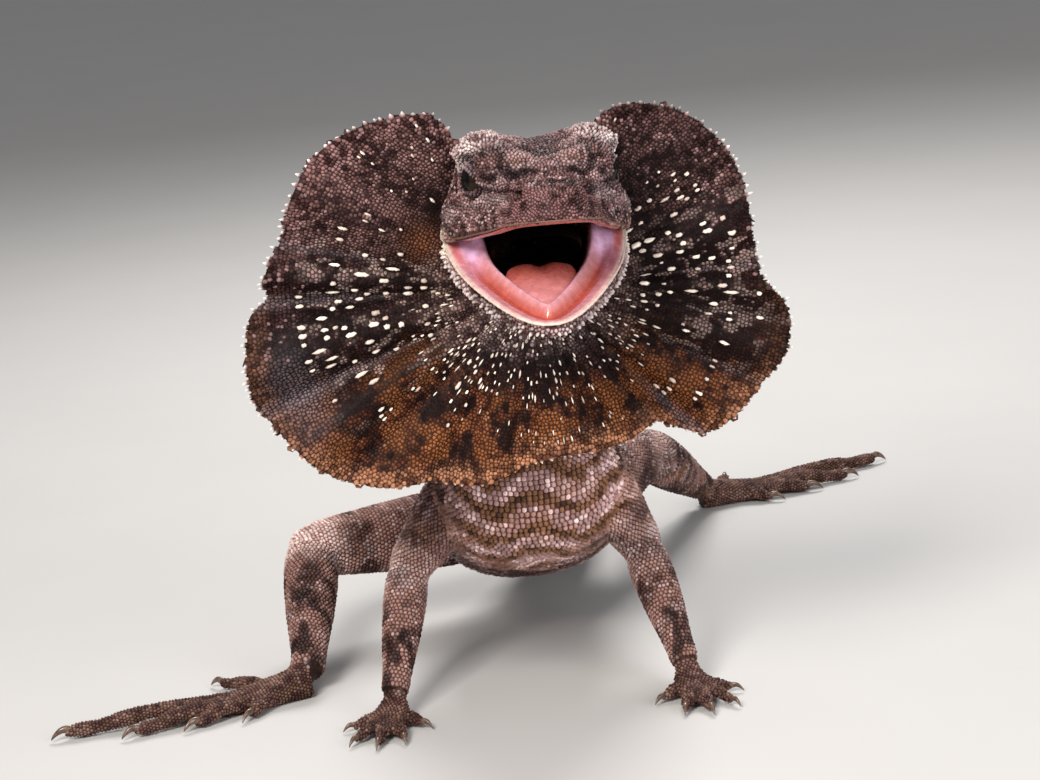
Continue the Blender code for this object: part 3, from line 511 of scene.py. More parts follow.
def jawGrid(rows=110, columns=64):
    # rings of the lower jaw: floor of the mouth, then round the outside
    forward = np.linspace(-7.0, 39.6, rows)
    wide, deep = along(forward, headShape["jawWidth"]), along(forward, headShape["jawDepth"])
    ahead = np.repeat(forward[:, None], columns, 1)
    x = np.linspace(-1, 1, columns)[None, :] * wide[:, None]
    floor = np.stack([x, ahead, jawFloor(x, ahead)[0] - 0.35], axis=-1)
    outline = evenly(headShape["jawSection"], columns)
    right = np.stack([outline[None, :, 0] * wide[:, None], ahead, -outline[None, :, 1] * deep[:, None]], axis=-1)
    left = right[:, ::-1][:, 1:] * np.array((-1, 1, 1))
    return placed(jawFrame, np.concatenate([floor[:, 1:-1], right, left[:, :-1]], axis=1))


def eyeAxes(side):
    # the eye's own frame on one side of the head: along the slit, across it, outward
    outward = unit(np.array(eyeShape["axis"]) * (side, 1, 1))
    ahead = unit(np.array((0, 1.0, 0)) - outward * outward[1])
    upward = np.cross(outward, ahead) * side
    tilt = math.radians(eyeShape["tilt"])
    slit = ahead * math.cos(tilt) - upward * math.sin(tilt)
    return slit, ahead * math.sin(tilt) + upward * math.cos(tilt), outward


def withLids(points):
    # the head's surface follows the eyeball and rises in two rings of folded lid round it
    moved = points.copy()
    for side in (-1, 1):
        slit, across, outward = eyeAxes(side)
        offset = points - np.array(eyeShape["place"]) * (side, 1, 1)
        p, q, h = offset @ slit, offset @ across, offset @ outward
        ring = np.sqrt((p / eyeShape["long"]) ** 2 + (q / eyeShape["high"]) ** 2)
        away = np.sqrt(p ** 2 + q ** 2)
        ball = np.sqrt(np.maximum(eyeShape["radius"] ** 2 - away ** 2, 0.0))
        wanted = ball + along(ring, eyeShape["lids"])
        share = ease(6.0, 3.9, away) * ease(3.2, 2.2, ring) * (h > 0)
        moved += outward * ((wanted - h) * share)[..., None]
    return moved


def lipRise(forward):
    # the upper lip droops a little at the sides and rises at the front
    return 0.75 * ease(25.0, 36.0, forward) - 0.6 * bump(forward, 14.0, 8.0)


def nearLine(points, path):
    # distance to a line on either side of the head, with depth along the head counted less
    scale = np.array((1.0, 0.5, 1.0))
    spots = np.stack([np.abs(points[..., 0]), points[..., 1], points[..., 2]], axis=-1) * scale
    fine = evenly(path, 24) * scale
    least = np.full(points.shape[:-1], 99.0)
    for start, stop in zip(fine[:-1], fine[1:]):
        way = stop - start
        share = np.clip((spots - start) @ way / max(way @ way, 1e-9), 0, 1)
        least = np.minimum(least, np.linalg.norm(spots - start - share[..., None] * way, axis=-1))
    return least


def lineRelief(points):
    # hollow and raised shares of the head's creases and ridges
    low, high = np.zeros(points.shape[:-1]), np.zeros(points.shape[:-1])
    for width, height, path in headShape["lines"]:
        share = np.exp(-(nearLine(points, path) / width) ** 2) * abs(height)
        share = share * (0.3 + 1.4 * noise(points, 2.2, 71, 2))
        if height < 0:
            low = np.maximum(low, share)
        else:
            high = np.maximum(high, share)
    return low, high


def headForm(points):
    core = np.stack([np.zeros(points.shape[:-1]), np.minimum(points[..., 1], 33.0),
                     np.full(points.shape[:-1], 7.0)], axis=-1)
    outward = unit(points - core)
    moved = points.copy()
    for side, forward, up, a, b, c, height in headShape["forms"]:
        span = ((np.abs(points[..., 0]) - side) / a) ** 2 + ((points[..., 1] - forward) / b) ** 2
        span = span + ((points[..., 2] - up) / c) ** 2
        moved += outward * (1.25 * height * np.exp(-span))[..., None]
    low, high = lineRelief(points)
    wrinkle = noise(points * (1, 0.6, 1.6), 2.2, 61, 2) - 0.5
    lumps = (noise(points, 3.4, 67, 1) - 0.5) * bump(points[..., 1], 25.0, 6.0)
    lumps = lumps * ease(9.0, 12.0, points[..., 2])
    rise = high - low + 1.0 * wrinkle * ease(1.0, 4.0, points[..., 2]) + 1.3 * lumps
    moved += outward * rise[..., None]
    return withLids(moved)


def palateVault(x, forward):
    edge = lipDistance(x, forward, headShape["width"], -9.0, 40.0)
    return lipRise(forward) + 0.2 + 2.6 * ease(2.0, 9.0, edge) - 0.5 * bump(edge, 2.0, 0.8), edge


def headGrid(rows=190, columns=110):
    # rings of the head: palate, then round the outside
    forward = np.concatenate([np.linspace(-9.0, 36.0, rows - 34), np.linspace(36.2, 40.0, 34)])
    lip, brow = along(forward, headShape["width"]), along(forward, headShape["browWidth"])
    height, crown = along(forward, headShape["browHeight"]), along(forward, headShape["crown"])
    outline = evenly(headShape["section"], columns)
    wide, high = outline[None, :, 0], outline[None, :, 1]
    width = lip[:, None] + (brow - lip)[:, None] * np.clip(high, 0, 1)
    level = height[:, None] * high
    top = crown[:, None] + (level - crown[:, None]) * np.clip(wide / 0.6, 0, 1) ** 2
    level = np.where((high > 0.93) & (wide < 0.6), top, level)
    level = level + lipRise(forward)[:, None] * (1 - np.clip(high * 3, 0, 1))
    ahead = np.repeat(forward[:, None], columns, 1)
    right = np.stack([wide * width, ahead, level], axis=-1)
    left = right[:, ::-1] * np.array((-1, 1, 1))
    outer = headForm(np.concatenate([right, left[:, 1:]], axis=1))
    share = np.linspace(-1, 1, columns)[None, 1:-1] * right[:, :1, 0]
    ahead = np.repeat(forward[:, None], columns - 2, 1)
    vault = np.stack([share, ahead, palateVault(share, ahead)[0]], axis=-1)
    return placed(palateFrame, np.concatenate([vault, outer], axis=1))


# trunk, tail and limbs
bodyShape = {
    "spine": [(0.0, 2.0, 106.0, 15.5, 13.0), (0.0, 9.0, 105.0, 14.5, 13.0), (-1.5, 18.5, 96.5, 12.0, 14.0),
              (-3.5, 24.0, 81.0, 11.0, 13.0), (-5.0, 32.5, 63.0, 14.0, 12.5), (-5.5, 42.0, 48.0, 19.5, 15.5),
              (-6.5, 58.0, 38.5, 21.0, 16.0), (-6.5, 80.0, 29.0, 21.0, 14.5), (-5.5, 103.0, 21.5, 16.0, 12.5),
              (-3.0, 122.0, 15.5, 11.5, 10.5), (1.0, 145.0, 10.0, 8.2, 8.4), (7.0, 180.0, 6.0, 5.8, 6.3),
              (14.0, 230.0, 4.2, 4.1, 4.5), (14.0, 290.0, 2.8, 2.9, 3.1), (2.0, 350.0, 1.9, 1.9, 2.1),
              (-14.0, 405.0, 1.2, 1.2, 1.3), (-20.0, 427.0, 0.9, 0.9, 0.95)],
    "joints": {"right_arm": ((-20.0, 44.0, 46.0), (-34.0, 51.0, 27.0), (-39.0, 30.0, 6.0)),
               "left_arm": ((8.0, 43.0, 45.0), (17.0, 51.0, 26.5), (23.0, 30.0, 6.0)),
               "right_leg": ((-14.0, 105.0, 21.0), (-57.0, 86.0, 23.5), (-58.5, 52.0, 5.6)),
               "left_leg": ((2.0, 101.0, 21.0), (22.5, 137.0, 25.5), (37.5, 172.0, 5.8))},
    "upperArm": [(0.0, 6.6, 6.8), (0.3, 6.4, 6.8), (0.7, 5.2, 5.6), (0.95, 4.5, 4.8), (1.1, 3.2, 3.4)],
    "forearm": [(-0.04, 3.4, 3.6), (0.15, 4.5, 4.8), (0.45, 4.3, 4.6), (0.85, 3.1, 3.3), (1.0, 3.0, 3.0)],
    "thigh": [(0.0, 8.0, 8.5), (0.35, 8.4, 8.8), (0.7, 7.2, 7.5), (0.95, 6.0, 6.2), (1.09, 3.8, 4.0)],
    "shin": [(-0.06, 4.6, 4.8), (0.15, 6.0, 6.2), (0.45, 5.6, 5.9), (0.85, 3.9, 4.2), (1.0, 3.7, 3.5)],
    "feet": {"right_arm": -105.0, "left_arm": -75.0, "right_leg": -160.0, "left_leg": 22.0},
    "palms": {"arm": (4.2, 9.0, 3.0), "leg": (4.8, 18.0, 3.6)},
    # toes: place along the palm, place across, turn, length, radius, claw
    "toes": {"arm": [(0.45, 2.4, 62.0, 6.0, 1.3, 2.6), (0.8, 2.0, 24.0, 9.0, 1.35, 2.8),
                     (0.85, 0.4, 4.0, 10.5, 1.35, 3.0), (0.8, -1.4, -18.0, 9.5, 1.3, 2.8),
                     (0.5, -2.4, -55.0, 6.0, 1.2, 2.5)],
             "leg": [(0.5, 2.6, 38.0, 9.0, 1.5, 3.4), (0.8, 2.2, 18.0, 14.0, 1.6, 3.6),
                     (0.9, 0.8, 6.0, 24.0, 1.7, 3.8), (0.9, -1.2, -6.0, 37.0, 1.8, 4.2),
                     (0.35, -2.8, -58.0, 17.0, 1.5, 3.4)]},
    # palm: share of its length, of its width and of its thickness
    "palmRows": [(0, 0.72, 1.0), (0.35, 0.85, 0.8), (0.75, 1, 0.62), (1, 0.8, 0.5)],
    # toe: share of its length, height in radii, lift, thickness in radii
    "toeRows": [(0, 1.25, 0, 1.15), (0.2, 1.25, 0.4, 1.0), (0.36, 1.25, 0.5, 1.14), (0.5, 1.75, 0, 0.95),
                (0.66, 1.45, 0, 1.1), (0.82, 1.05, 0, 0.9), (0.94, 1.0, 0, 1.0), (1.03, 1.05, 0, 0.6)],
    # claw: share of its length, height in radii, thickness in radii
    "clawRows": [(-0.15, 1.15, 0.5), (0.1, 1.35, 0.52), (0.4, 1.35, 0.42), (0.7, 1.0, 0.28),
                 (0.92, 0.55, 0.14), (1.0, 0.3, 0.04)],
}


def tubeGrid(rows, spacing, columns, fullness=2.2):
    # rings along a path of place, half width and half height
    rows = np.asarray(rows, float)
    fine = np.linspace(0, len(rows) - 1, (len(rows) - 1) * 40 + 1)
    lengths = runLengths(curveThrough(rows, fine)[:, :3])
    count = max(3, int(lengths[-1] / spacing) + 1)
    place = np.interp(np.linspace(0, lengths[-1], count), lengths, fine)
    here = curveThrough(rows, place)
    ahead = unit(curveThrough(rows, place + 0.02)[:, :3] - curveThrough(rows, place - 0.02)[:, :3])
    angle = np.linspace(0, 2 * math.pi, columns, endpoint=False)
    cosine, sine = np.cos(angle), np.sin(angle)
    wide = np.sign(cosine) * np.abs(cosine) ** (2 / fullness)
    high = np.sign(sine) * np.abs(sine) ** (2 / fullness)
    base = np.array((0, 0, 1.0)) if abs(ahead[0, 2]) < 0.9 else np.array((0, 1.0, 0))
    side = unit(np.cross(ahead[0], base))
    grid = np.empty((count, columns, 3))
    for row in range(count):
        side = unit(side - ahead[row] * side.dot(ahead[row]))
        top = np.cross(side, ahead[row])
        grid[row] = here[row, :3] + np.outer(wide * here[row, 3], side) + np.outer(high * here[row, 4], top)
    return grid


def fleshRows(start, end, shape):
    start, end = np.array(start), np.array(end)
    return [(*(start + (end - start) * share), wide, high) for share, wide, high in shape]


def footForms(name):
    kind = name.split("_")[1]
    heading = math.radians(bodyShape["feet"][name])
    ahead = np.array((math.cos(heading), math.sin(heading), 0))
    across = np.array((-math.sin(heading), math.cos(heading), 0))
    start = np.array(bodyShape["joints"][name][2])
    wide, long, thick = bodyShape["palms"][kind]
    rows = []
    for share, width, height in bodyShape["palmRows"]:
        place, height = start + ahead * long * share, thick * height
        rows.append((place[0], place[1], height, wide * width, height * 1.1))
    forms, claws = [tubeGrid(rows, 0.8, 32, 2.3)], []
    mirror = -1 if name.startswith("left") else 1
    for back, side, turn, length, radius, claw in bodyShape["toes"][kind]:
        root = start + ahead * long * back + across * side * mirror
        turned = heading + math.radians(turn) * mirror
        out = np.array((math.cos(turned), math.sin(turned), 0))
        rows = []
        for share, height, lift, size in bodyShape["toeRows"]:
            place = root + out * length * share
            rows.append((place[0], place[1], radius * height + lift, radius * size, radius * size))
        forms.append(tubeGrid(rows, 0.6, 16, 2.0))
        rows = []
        for share, height, size in bodyShape["clawRows"]:
            place = root + out * (length + claw * share)
            rows.append((place[0], place[1], radius * height, radius * size * 0.8, radius * size))
        claws.append(tubeGrid(rows, 0.25, 12, 2.0))
    return forms, claws


spineGrid = tubeGrid(bodyShape["spine"], 1.3, 72)
limbGrids, footGrids, clawGrids = {}, {}, []
for limb, (root, middle, end) in bodyShape["joints"].items():
    arm = limb.endswith("arm")
    upper, lower = bodyShape["upperArm" if arm else "thigh"], bodyShape["forearm" if arm else "shin"]
    limbGrids[limb] = [tubeGrid(fleshRows(root, middle, upper), 1.0, 44, 2.1),
                       tubeGrid(fleshRows(middle, end, lower), 1.0, 40, 2.1)]
    footGrids[limb], claws = footForms(limb)
    clawGrids += claws

headRings, jawRings = headGrid(), jawGrid()


# shape of the frill
frillShape = {
    "centre": (-1.0, 10.5, 94.0), "root": 8.0, "thick": 0.8, "dish": 2.5,
    "rim": [(-159.0, 33.0), (-156.5, 41.0), (-150.0, 44.5), (-140.0, 48.0), (-128.0, 51.0), (-117.0, 51.5),
            (-108.0, 51.0), (-99.0, 53.5), (-93.5, 53.2), (-89.5, 57.0), (-80.0, 59.0), (-72.0, 60.0),
            (-63.0, 57.0), (-52.0, 55.5), (-46.0, 52.5), (-35.0, 45.5), (-20.0, 41.5), (-8.0, 37.0),
            (2.0, 35.0), (14.0, 36.0), (26.0, 36.5), (36.5, 36.6), (39.5, 41.5), (42.5, 46.5), (50.0, 48.5),
            (60.0, 50.5), (72.0, 52.5), (80.0, 50.5), (86.5, 45.5), (99.0, 44.8), (112.0, 46.5),
            (124.0, 47.0), (136.0, 46.0), (147.0, 43.0), (153.5, 39.0), (155.5, 32.0)],
    "folds": [(-159.0, -11.0), (-150.0, -12.0), (-140.0, -8.0), (-127.0, -3.5), (-118.0, -5.0), (-107.0, 0.5),
              (-99.0, -3.0), (-93.0, 2.0), (-86.0, -3.0), (-79.0, -5.0), (-71.0, 0.5), (-62.0, -5.5),
              (-50.0, 0.5), (-40.0, -2.0), (-30.0, 1.2), (-20.0, -1.5), (-9.0, 1.5), (2.0, -1.5), (13.0, 1.2),
              (24.0, -1.5), (34.0, -4.0), (42.0, 4.0), (51.0, 1.5), (60.0, 4.5), (68.0, 1.0), (76.0, 3.5),
              (85.0, 0.0), (90.0, 3.0), (101.0, -1.0), (112.0, 2.0), (124.0, -3.0), (136.0, -7.0),
              (147.0, -11.0), (156.0, -10.0)],
    "span": (-158.5, 155.0), "pleat": 0.16, "pleats": 100,
    "scales": {"pitch": 0.73, "coarser": 1.5, "from": 8.6, "to": 60.5},    # coarser behind
    # profile: share of the length, share of the width
    "spines": {"pitch": 2.0, "length": 1.4, "width": 1.2,
               "profile": [(-0.5, 0.7), (-0.1, 1.0), (0.25, 0.95), (0.55, 0.66), (0.82, 0.3), (1.0, 0.05)]},
}


def frillPoint(angle, radius):
    turn, reach = np.radians(angle), radius / 50.0
    depth = -frillShape["dish"] * reach ** 2 + along(angle, frillShape["folds"]) * reach ** 1.15
    pleat = frillShape["pleat"] * np.sin(turn * frillShape["pleats"] / 2) * ease(8, 16, radius)
    centre = frillShape["centre"]
    return np.stack([centre[0] + np.sin(turn) * radius, centre[1] + depth + pleat,
                     centre[2] - np.cos(turn) * radius], axis=-1)


def frillNormal(angle, radius):
    across = frillPoint(angle + 0.4, radius) - frillPoint(angle - 0.4, radius)
    outward = frillPoint(angle, radius + 0.3) - frillPoint(angle, radius - 0.3)
    normal = unit(np.cross(across, outward))
    return np.where(normal[..., 1:2] < 0, normal, -normal)


# the skin: a fine shell for head and throat and a coarser one for the rest, joined
skinShape = {"headVoxel": 0.32, "bodyVoxel": 1.0, "depth": 0.14, "throat": [
    (0.0, -12.0, 105.2, 8.6, 2.4), (0.0, -4.0, 104.6, 9.6, 3.6), (0.0, 4.0, 103.0, 9.4, 6.5),
    (-0.5, 11.0, 99.0, 8.0, 7.0), (-1.5, 17.0, 92.0, 6.0, 6.0), (-2.5, 21.0, 84.0, 3.5, 3.5)]}


def makeSkin():
    neck = tubeGrid(bodyShape["spine"][:5], 0.8, 80)
    headShell = joinedForms("head_shell", [headRings, jawRings, neck[:int(len(neck) * 0.55)]])
    remeshed(headShell, skinShape["headVoxel"], 2)
    forms = [spineGrid]
    for limb in limbGrids:
        forms += limbGrids[limb] + footGrids[limb]
    bodyShell = joinedForms("body_shell", forms)
    remeshed(bodyShell, skinShape["bodyVoxel"], 4)
    throat = joinedForms("throat_cutter", [tubeGrid(skinShape["throat"], 0.8, 40)])
    for shell in (headShell, bodyShell):
        hollow = shell.modifiers.new("throat", 'BOOLEAN')
        hollow.operation = 'DIFFERENCE'
        hollow.solver = 'EXACT'
        hollow.object = throat
        settle(shell)
        sunk = meshPoints(shell) - ofVertices(shell, "normal") * skinShape["depth"]
        # below the chin the throat stays behind the frill
        centre = frillShape["centre"]
        across, below = sunk[:, 0] - centre[0], centre[2] - sunk[:, 2]
        sheet = frillPoint(np.degrees(np.arctan2(across, below)), np.hypot(across, below))[:, 1] + 0.7
        share = ease(3.0, 6.5, below) * ease(40.0, 34.0, below) * ease(9.0, 5.0, sheet - sunk[:, 1])
        sunk[:, 1] += np.maximum(sheet - sunk[:, 1], 0) * share
        sunk[:, 2] = np.maximum(sunk[:, 2], 0.02)
        setPoints(shell, sunk)
    bpy.data.objects.remove(throat, do_unlink=True)
    return headShell, bodyShell


headShell, bodyShell = makeSkin()
print("skin shells", len(headShell.data.polygons), len(bodyShell.data.polygons))


# scales
def surfaceOf(piece):
    points, normals = meshPoints(piece), ofVertices(piece, "normal")
    faces = [tuple(face.vertices) for face in piece.data.polygons]
    return BVHTree.FromPolygons(points.tolist(), faces), faces, normals


def onSurface(surface, points, limit):
    tree, faces, normals = surface
    found, facing, keep = np.array(points), np.zeros((len(points), 3)), np.zeros(len(points), bool)
    for index, point in enumerate(points):
        spot, normal, face, distance = tree.find_nearest(Vector(point))
        if spot is None or distance > limit:
            continue
        found[index] = spot
        facing[index] = normals[list(faces[face])].mean(axis=0)
        keep[index] = True
    return found, unit(facing), keep


def gridLattice(grid, pitch):
    # staggered rows of seeds over a tube of rings; gives points, their way along and the tube's place
    rows = len(grid)
    loop = np.concatenate([grid, grid[:, :1]], axis=1)
    runs = runLengths(grid.mean(axis=1))
    seeds, ways, places = [], [], []
    length, number = 0.0, 0
    while length < runs[-1]:
        size = pitch(length / runs[-1]) if callable(pitch) else pitch
        row = np.interp(length, runs, np.arange(rows))
        low = min(int(row), rows - 2)
        ring = loop[low] + (loop[low + 1] - loop[low]) * (row - low)
        around = runLengths(ring)
        count = max(4, 2 * int(round(around[-1] / size / 2)))
        turn = (np.arange(count) + 0.5 * (number % 2) + 0.25) / count
        column = np.interp(turn * around[-1], around, np.arange(len(around)))
        left = np.minimum(column.astype(int), len(around) - 2)
        share = (column - left)[:, None]
        here = ring[left] + (ring[left + 1] - ring[left]) * share
        drop = loop[low + 1] - loop[low]
        seeds.append(here)
        ways.append(unit(drop[left] + (drop[left + 1] - drop[left]) * share))
        places.append(np.stack([np.full(count, length / runs[-1]), turn, np.full(count, size)], axis=-1))
        length += size * 0.87
        number += 1
    return np.vstack(seeds), np.vstack(ways), np.vstack(places)


def treeOf(points):
    tree = KDTree(len(points))
    for index, point in enumerate(points):
        tree.insert(Vector(point), index)
    tree.balance()
    return tree


def thinned(points, sizes):
    # leaves out the later of two seeds that are closer than 0.6 of a scale
    tree, keep = treeOf(points), np.ones(len(points), bool)
    for index, point in enumerate(points):
        if keep[index]:
            for spot, other, distance in tree.find_range(Vector(point), sizes[index] * 0.6):
                if other > index:
                    keep[other] = False
    return keep


def neighbours(points, count):
    tree, count = treeOf(points), min(count, len(points) - 1)
    found = np.zeros((len(points), count), int)
    for index, point in enumerate(points):
        near = tree.find_n(Vector(point), count + 1)
        found[index] = [item[1] for item in near[1:]]
    return found


scaleShape = {
    # height, keel, corners, how much of the room between its neighbours a scale fills
    "head": {"height": 0.3, "keel": 0.3, "sides": 6, "fill": 0.95, "seed": 3},
    "body": {"height": 0.3, "keel": 0.8, "sides": 8, "fill": 0.93, "seed": 3},
    "frill": {"height": 0.14, "keel": 0.5, "sides": 6, "fill": 0.98, "seed": 3},
    "marks": {"height": 0.36, "keel": 0.25, "sides": 12, "fill": 1.0, "seed": 5},
}


def layScales(name, coat, seeds, facing, way, sizes, colours, unwrap, material, height=None, ovals=None,
              part=None):
    # each scale fills its share of the surface between its neighbours, with a raised rear edge and a keel
    keel, sides = coat["keel"], coat["sides"]
    height = coat["height"] if height is None else height
    draw = np.random.default_rng(coat["seed"])
    count = len(seeds)
    way = unit(way - facing * (way * facing).sum(axis=1, keepdims=True))
    across = np.cross(facing, way)
    turn = np.arange(sides) * 2 * math.pi / sides
    rear, aside = np.cos(turn), np.sin(turn)
    spokes = way[:, None] * rear[None, :, None] + across[:, None] * aside[None, :, None]
    if ovals is None:
        offsets = seeds[neighbours(seeds, 12)] - seeds[:, None]
        square = (offsets ** 2).sum(axis=-1)
        toward = np.einsum('nkc,nmc->nkm', offsets, spokes)
        limit = np.where(toward > 1e-6, square[:, :, None] / 2 / np.maximum(toward, 1e-6), 1e9).min(axis=1)
        radius = np.minimum(limit, sizes[:, None] * 0.72) * coat["fill"]
    else:
        long, wide = ovals[:, :1], ovals[:, 1:]
        power = 2.6     # an ellipse has 2, a rectangle far more
        reach = (wide * np.abs(rear)) ** power + (long * np.abs(aside)) ** power
        radius = long * wide / reach ** (1 / power)
        radius = radius * draw.uniform(0.78, 1.12, radius.shape)
    colours = colours * draw.uniform(0.82, 1.18, (count, 1))
    if part is not None:
        seeds, facing, spokes, radius = seeds[part], facing[part], spokes[part], radius[part]
        sizes, colours, unwrap, height = sizes[part], colours[part], unwrap[part], height[part]
        count = int(part.sum())
    size = sizes[:, None]
    tall = np.reshape(height, (-1, 1)) * draw.uniform(0.8, 1.2, (count, 1)) * np.minimum(size, 1.6)
    outer = radius * (1 + 0.16 * keel * np.maximum(rear, 0) ** 2)
    foot = -0.12 + tall * 0.75 * keel * np.maximum(rear, 0) ** 3
    inner = radius * (0.62 + 0.12 * keel * np.maximum(rear, 0))
    ridge = np.abs(rear) ** 4
    crest = tall * (0.72 + 0.35 * keel * rear + 0.3 * keel * ridge * (rear > 0))
    normal = facing[:, None]
    ringOut = seeds[:, None] + spokes * outer[..., None] + normal * foot[..., None]
    ringIn = seeds[:, None] + spokes * inner[..., None] + normal * crest[..., None]
    peak = seeds[:, None] + normal * (tall * (1.0 + 0.25 * keel))[..., None]
    points = np.concatenate([ringOut, ringIn, peak], axis=1)
    points[..., 2] = np.maximum(points[..., 2], 0.02)
    each = 2 * sides + 1
    ring = np.arange(sides)
    other = (ring + 1) % sides
    tris = np.vstack([np.stack([ring, other, sides + other], axis=-1),
                      np.stack([ring, sides + other, sides + ring], axis=-1),
                      np.stack([sides + ring, sides + other, np.full(sides, 2 * sides)], axis=-1)])
    faces = (np.arange(count) * each)[:, None, None] + tris[None]
    piece = newPiece(name, points.reshape(-1, 3), faces.reshape(-1, 3), material)
    giveColour(piece, np.repeat(colours, each, axis=0))
    # crest share: 0 at the scale's foot, where its paint puts painted shade, up to 1 at its peak
    crestShare = np.concatenate([np.zeros(sides) + 0.15 * np.maximum(rear, 0), np.full(sides, 0.7), [1.0]])
    giveValue(piece, "crest", np.tile(crestShare, count))
    spoke = np.stack([rear, aside], axis=-1)
    spread = 0.0014 * np.concatenate([spoke, 0.6 * spoke, [[0, 0]]])
    span = unwrap.max(axis=0) - unwrap.min(axis=0)
    root = 0.01 + 0.98 * (unwrap - unwrap.min(axis=0)) / np.maximum(span, 1e-6)
    giveUnwrap(piece, (root[:, None] + spread[None]).reshape(-1, 2))
    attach(piece, "root")
    "frill" if "frill" in name else "skin"
    print(name, count, "scales")


# markings, with some painted light and shade, the same for skin and scales
tones = {
    "night": (0.010, 0.0035, 0.0035), "umber": (0.045, 0.019, 0.018), "clay": (0.15, 0.078, 0.072),
    "rose": (0.33, 0.20, 0.195), "ash": (0.52, 0.40, 0.39), "cream": (0.85, 0.72, 0.56),
    "ochre": (0.24, 0.11, 0.05), "white": (0.92, 0.87, 0.82), "slate": (0.032, 0.018, 0.023),
}


headMarks = [
    # colour, share, place (side, forward, up) and reach; the same on both sides; two of the night marks are painted
    # shade
    ("slate", 1.0, (0.0, 13.0, 18.0), (4.2, 12.0, 5.0)), ("night", 0.9, (0.0, 24.0, 15.5), (3.6, 5.0, 2.8)),
    # night at (12.2, 24.0, 8.0): painted shadow under the canthal ridge
    ("slate", 0.45, (5.2, 31.0, 9.8), (3.0, 4.0, 0.9)), ("night", 0.8, (12.2, 24.0, 8.0), (2.4, 5.0, 0.7)),
    ("clay", 0.95, (5.4, 28.7, 13.2), (3.6, 4.0, 1.3)), ("clay", 0.8, (10.8, 24.0, 14.5), (3.0, 5.0, 2.2)),
    ("ochre", 0.5, (5.4, 28.7, 13.0), (3.0, 4.0, 1.0)), ("ash", 0.8, (5.8, 29.4, 11.7), (3.2, 4.0, 0.55)),
    ("ash", 1.0, (12.9, 21.8, 6.0), (2.6, 5.0, 1.3)), ("ash", 0.6, (9.6, 27.5, 5.9), (2.0, 4.0, 0.9)),
    ("white", 0.95, (15.0, 15.5, 13.6), (1.6, 4.5, 1.5)), ("ash", 0.6, (12.6, 20.6, 15.6), (2.4, 5.0, 0.8)),
    # night at (8.0, 32.5, 6.3): painted shade in the nostril's hollow
    ("ash", 0.6, (16.6, 10.5, 4.2), (2.4, 5.0, 1.5)), ("night", 1.0, (8.0, 32.5, 6.3), (1.1, 4.0, 0.9)),
    ("white", 0.7, (13.4, 19.0, 16.2), (1.4, 6.0, 0.9)), ("umber", 0.8, (9.5, 24.5, 15.8), (2.6, 4.0, 0.8)),
    ("umber", 0.7, (4.6, 27.5, 14.6), (2.4, 4.0, 0.6)), ("ash", 0.7, (8.7, 31.6, 5.2), (0.5, 4.0, 1.0)),
    ("cream", 0.7, (17.6, 3.0, 0.6), (2.0, 4.0, 1.0)),
]


def headTones(points, seed=5):
    x, forward, up = np.moveaxis(localTo(palateFrame, points), -1, 0)
    jx, jawForward, jawUp = np.moveaxis(localTo(jawFrame, points), -1, 0)
    side = np.abs(x)
    patch, fine = noise(points, 5.0, seed), noise(points, 1.5, seed + 1)
    colour = mixed((0.03, 0.012, 0.012), tones["clay"], ease(0.36, 0.56, 0.6 * patch + 0.4 * fine))
    colour = mixed(colour, tones["rose"], ease(0.5, 0.72, fine) * 0.45)
    colour = mixed(colour, tones["night"], ease(0.5, 0.36, fine) * 0.85)
    speck = noise(points, 0.55, seed + 2, 1)
    colour = mixed(colour, tones["ash"], ease(0.6, 0.78, speck) * 0.6)
    colour = mixed(colour, tones["night"], ease(0.4, 0.24, speck) * 0.6)
    # the tops of the brow's domes painted paler: pale scales and painted light from above
    domes = bump(side, 9.0, 4.5) * bump(forward, 17.0, 8.0) * ease(12.5, 15.5, up)
    colour = mixed(colour, mixed(tones["clay"], tones["ash"], ease(0.4, 0.7, fine)), domes * 0.75)
    muzzle = ease(27, 32, forward) * ease(9.0, 6.5, up)
    colour = mixed(colour, mixed((0.028, 0.011, 0.010), (0.165, 0.082, 0.080), ease(0.32, 0.66, fine)), muzzle * 0.8)
    for name, share, place, reach in headMarks:
        span = (((np.stack([side, forward, up], axis=-1) - place) / reach) ** 2).sum(axis=-1)
        colour = mixed(colour, tones[name], share * np.exp(-span) * (0.75 + 0.5 * (fine - 0.5)))
    low, high = lineRelief(np.stack([x, forward, up], axis=-1))
    # ridges painted paler as painted highlight and creases darker as painted shade
    colour = mixed(colour, mixed(tones["rose"], tones["ash"], fine), np.clip(high * 0.5, 0, 0.6))
    colour = mixed(colour, tones["night"], np.clip(low * 0.9, 0, 0.85))
    gap = eyeRing(x, forward, up)
    colour = mixed(colour, (0.12, 0.09, 0.11), 0.55 * ease(1.05, 1.2, gap) * ease(2.2, 1.7, gap))
    colour = mixed(colour, tones["night"], 0.85 * ease(1.22, 1.0, gap))
    edge = ease(0.9, 0.2, up - lipRise(forward)) * (forward > 2) * (jawUp > 2)
    colour = mixed(colour, (0.30, 0.17, 0.13), edge * 0.6 * fine)
    chin = ease(-0.2, -1.6, jawUp) * (up < 2)
    under = mixed((0.16, 0.075, 0.055), tones["ash"], ease(0.36, 0.58, fine))
    colour = mixed(colour, mixed(under, tones["umber"], ease(0.55, 0.42, patch) * 0.8), chin * 0.85)
    spotted = ease(0.62, 0.72, noise(points, 0.8, seed + 8, 1)) * bump(side, 8.5, 5.5) * ease(9.0, 11.0, up)
    colour = mixed(colour, tones["night"], spotted * ease(19.0, 23.0, forward) * 0.85)
    colour = colour * (1.0, 0.93, 0.94)
    corner = bump(np.abs(jx), 18.0, 2.5) * bump(jawForward, 3.0, 5.0) * bump(jawUp, -1.0, 2.5)
    return mixed(colour, (0.85, 0.72, 0.58), corner * 0.85)


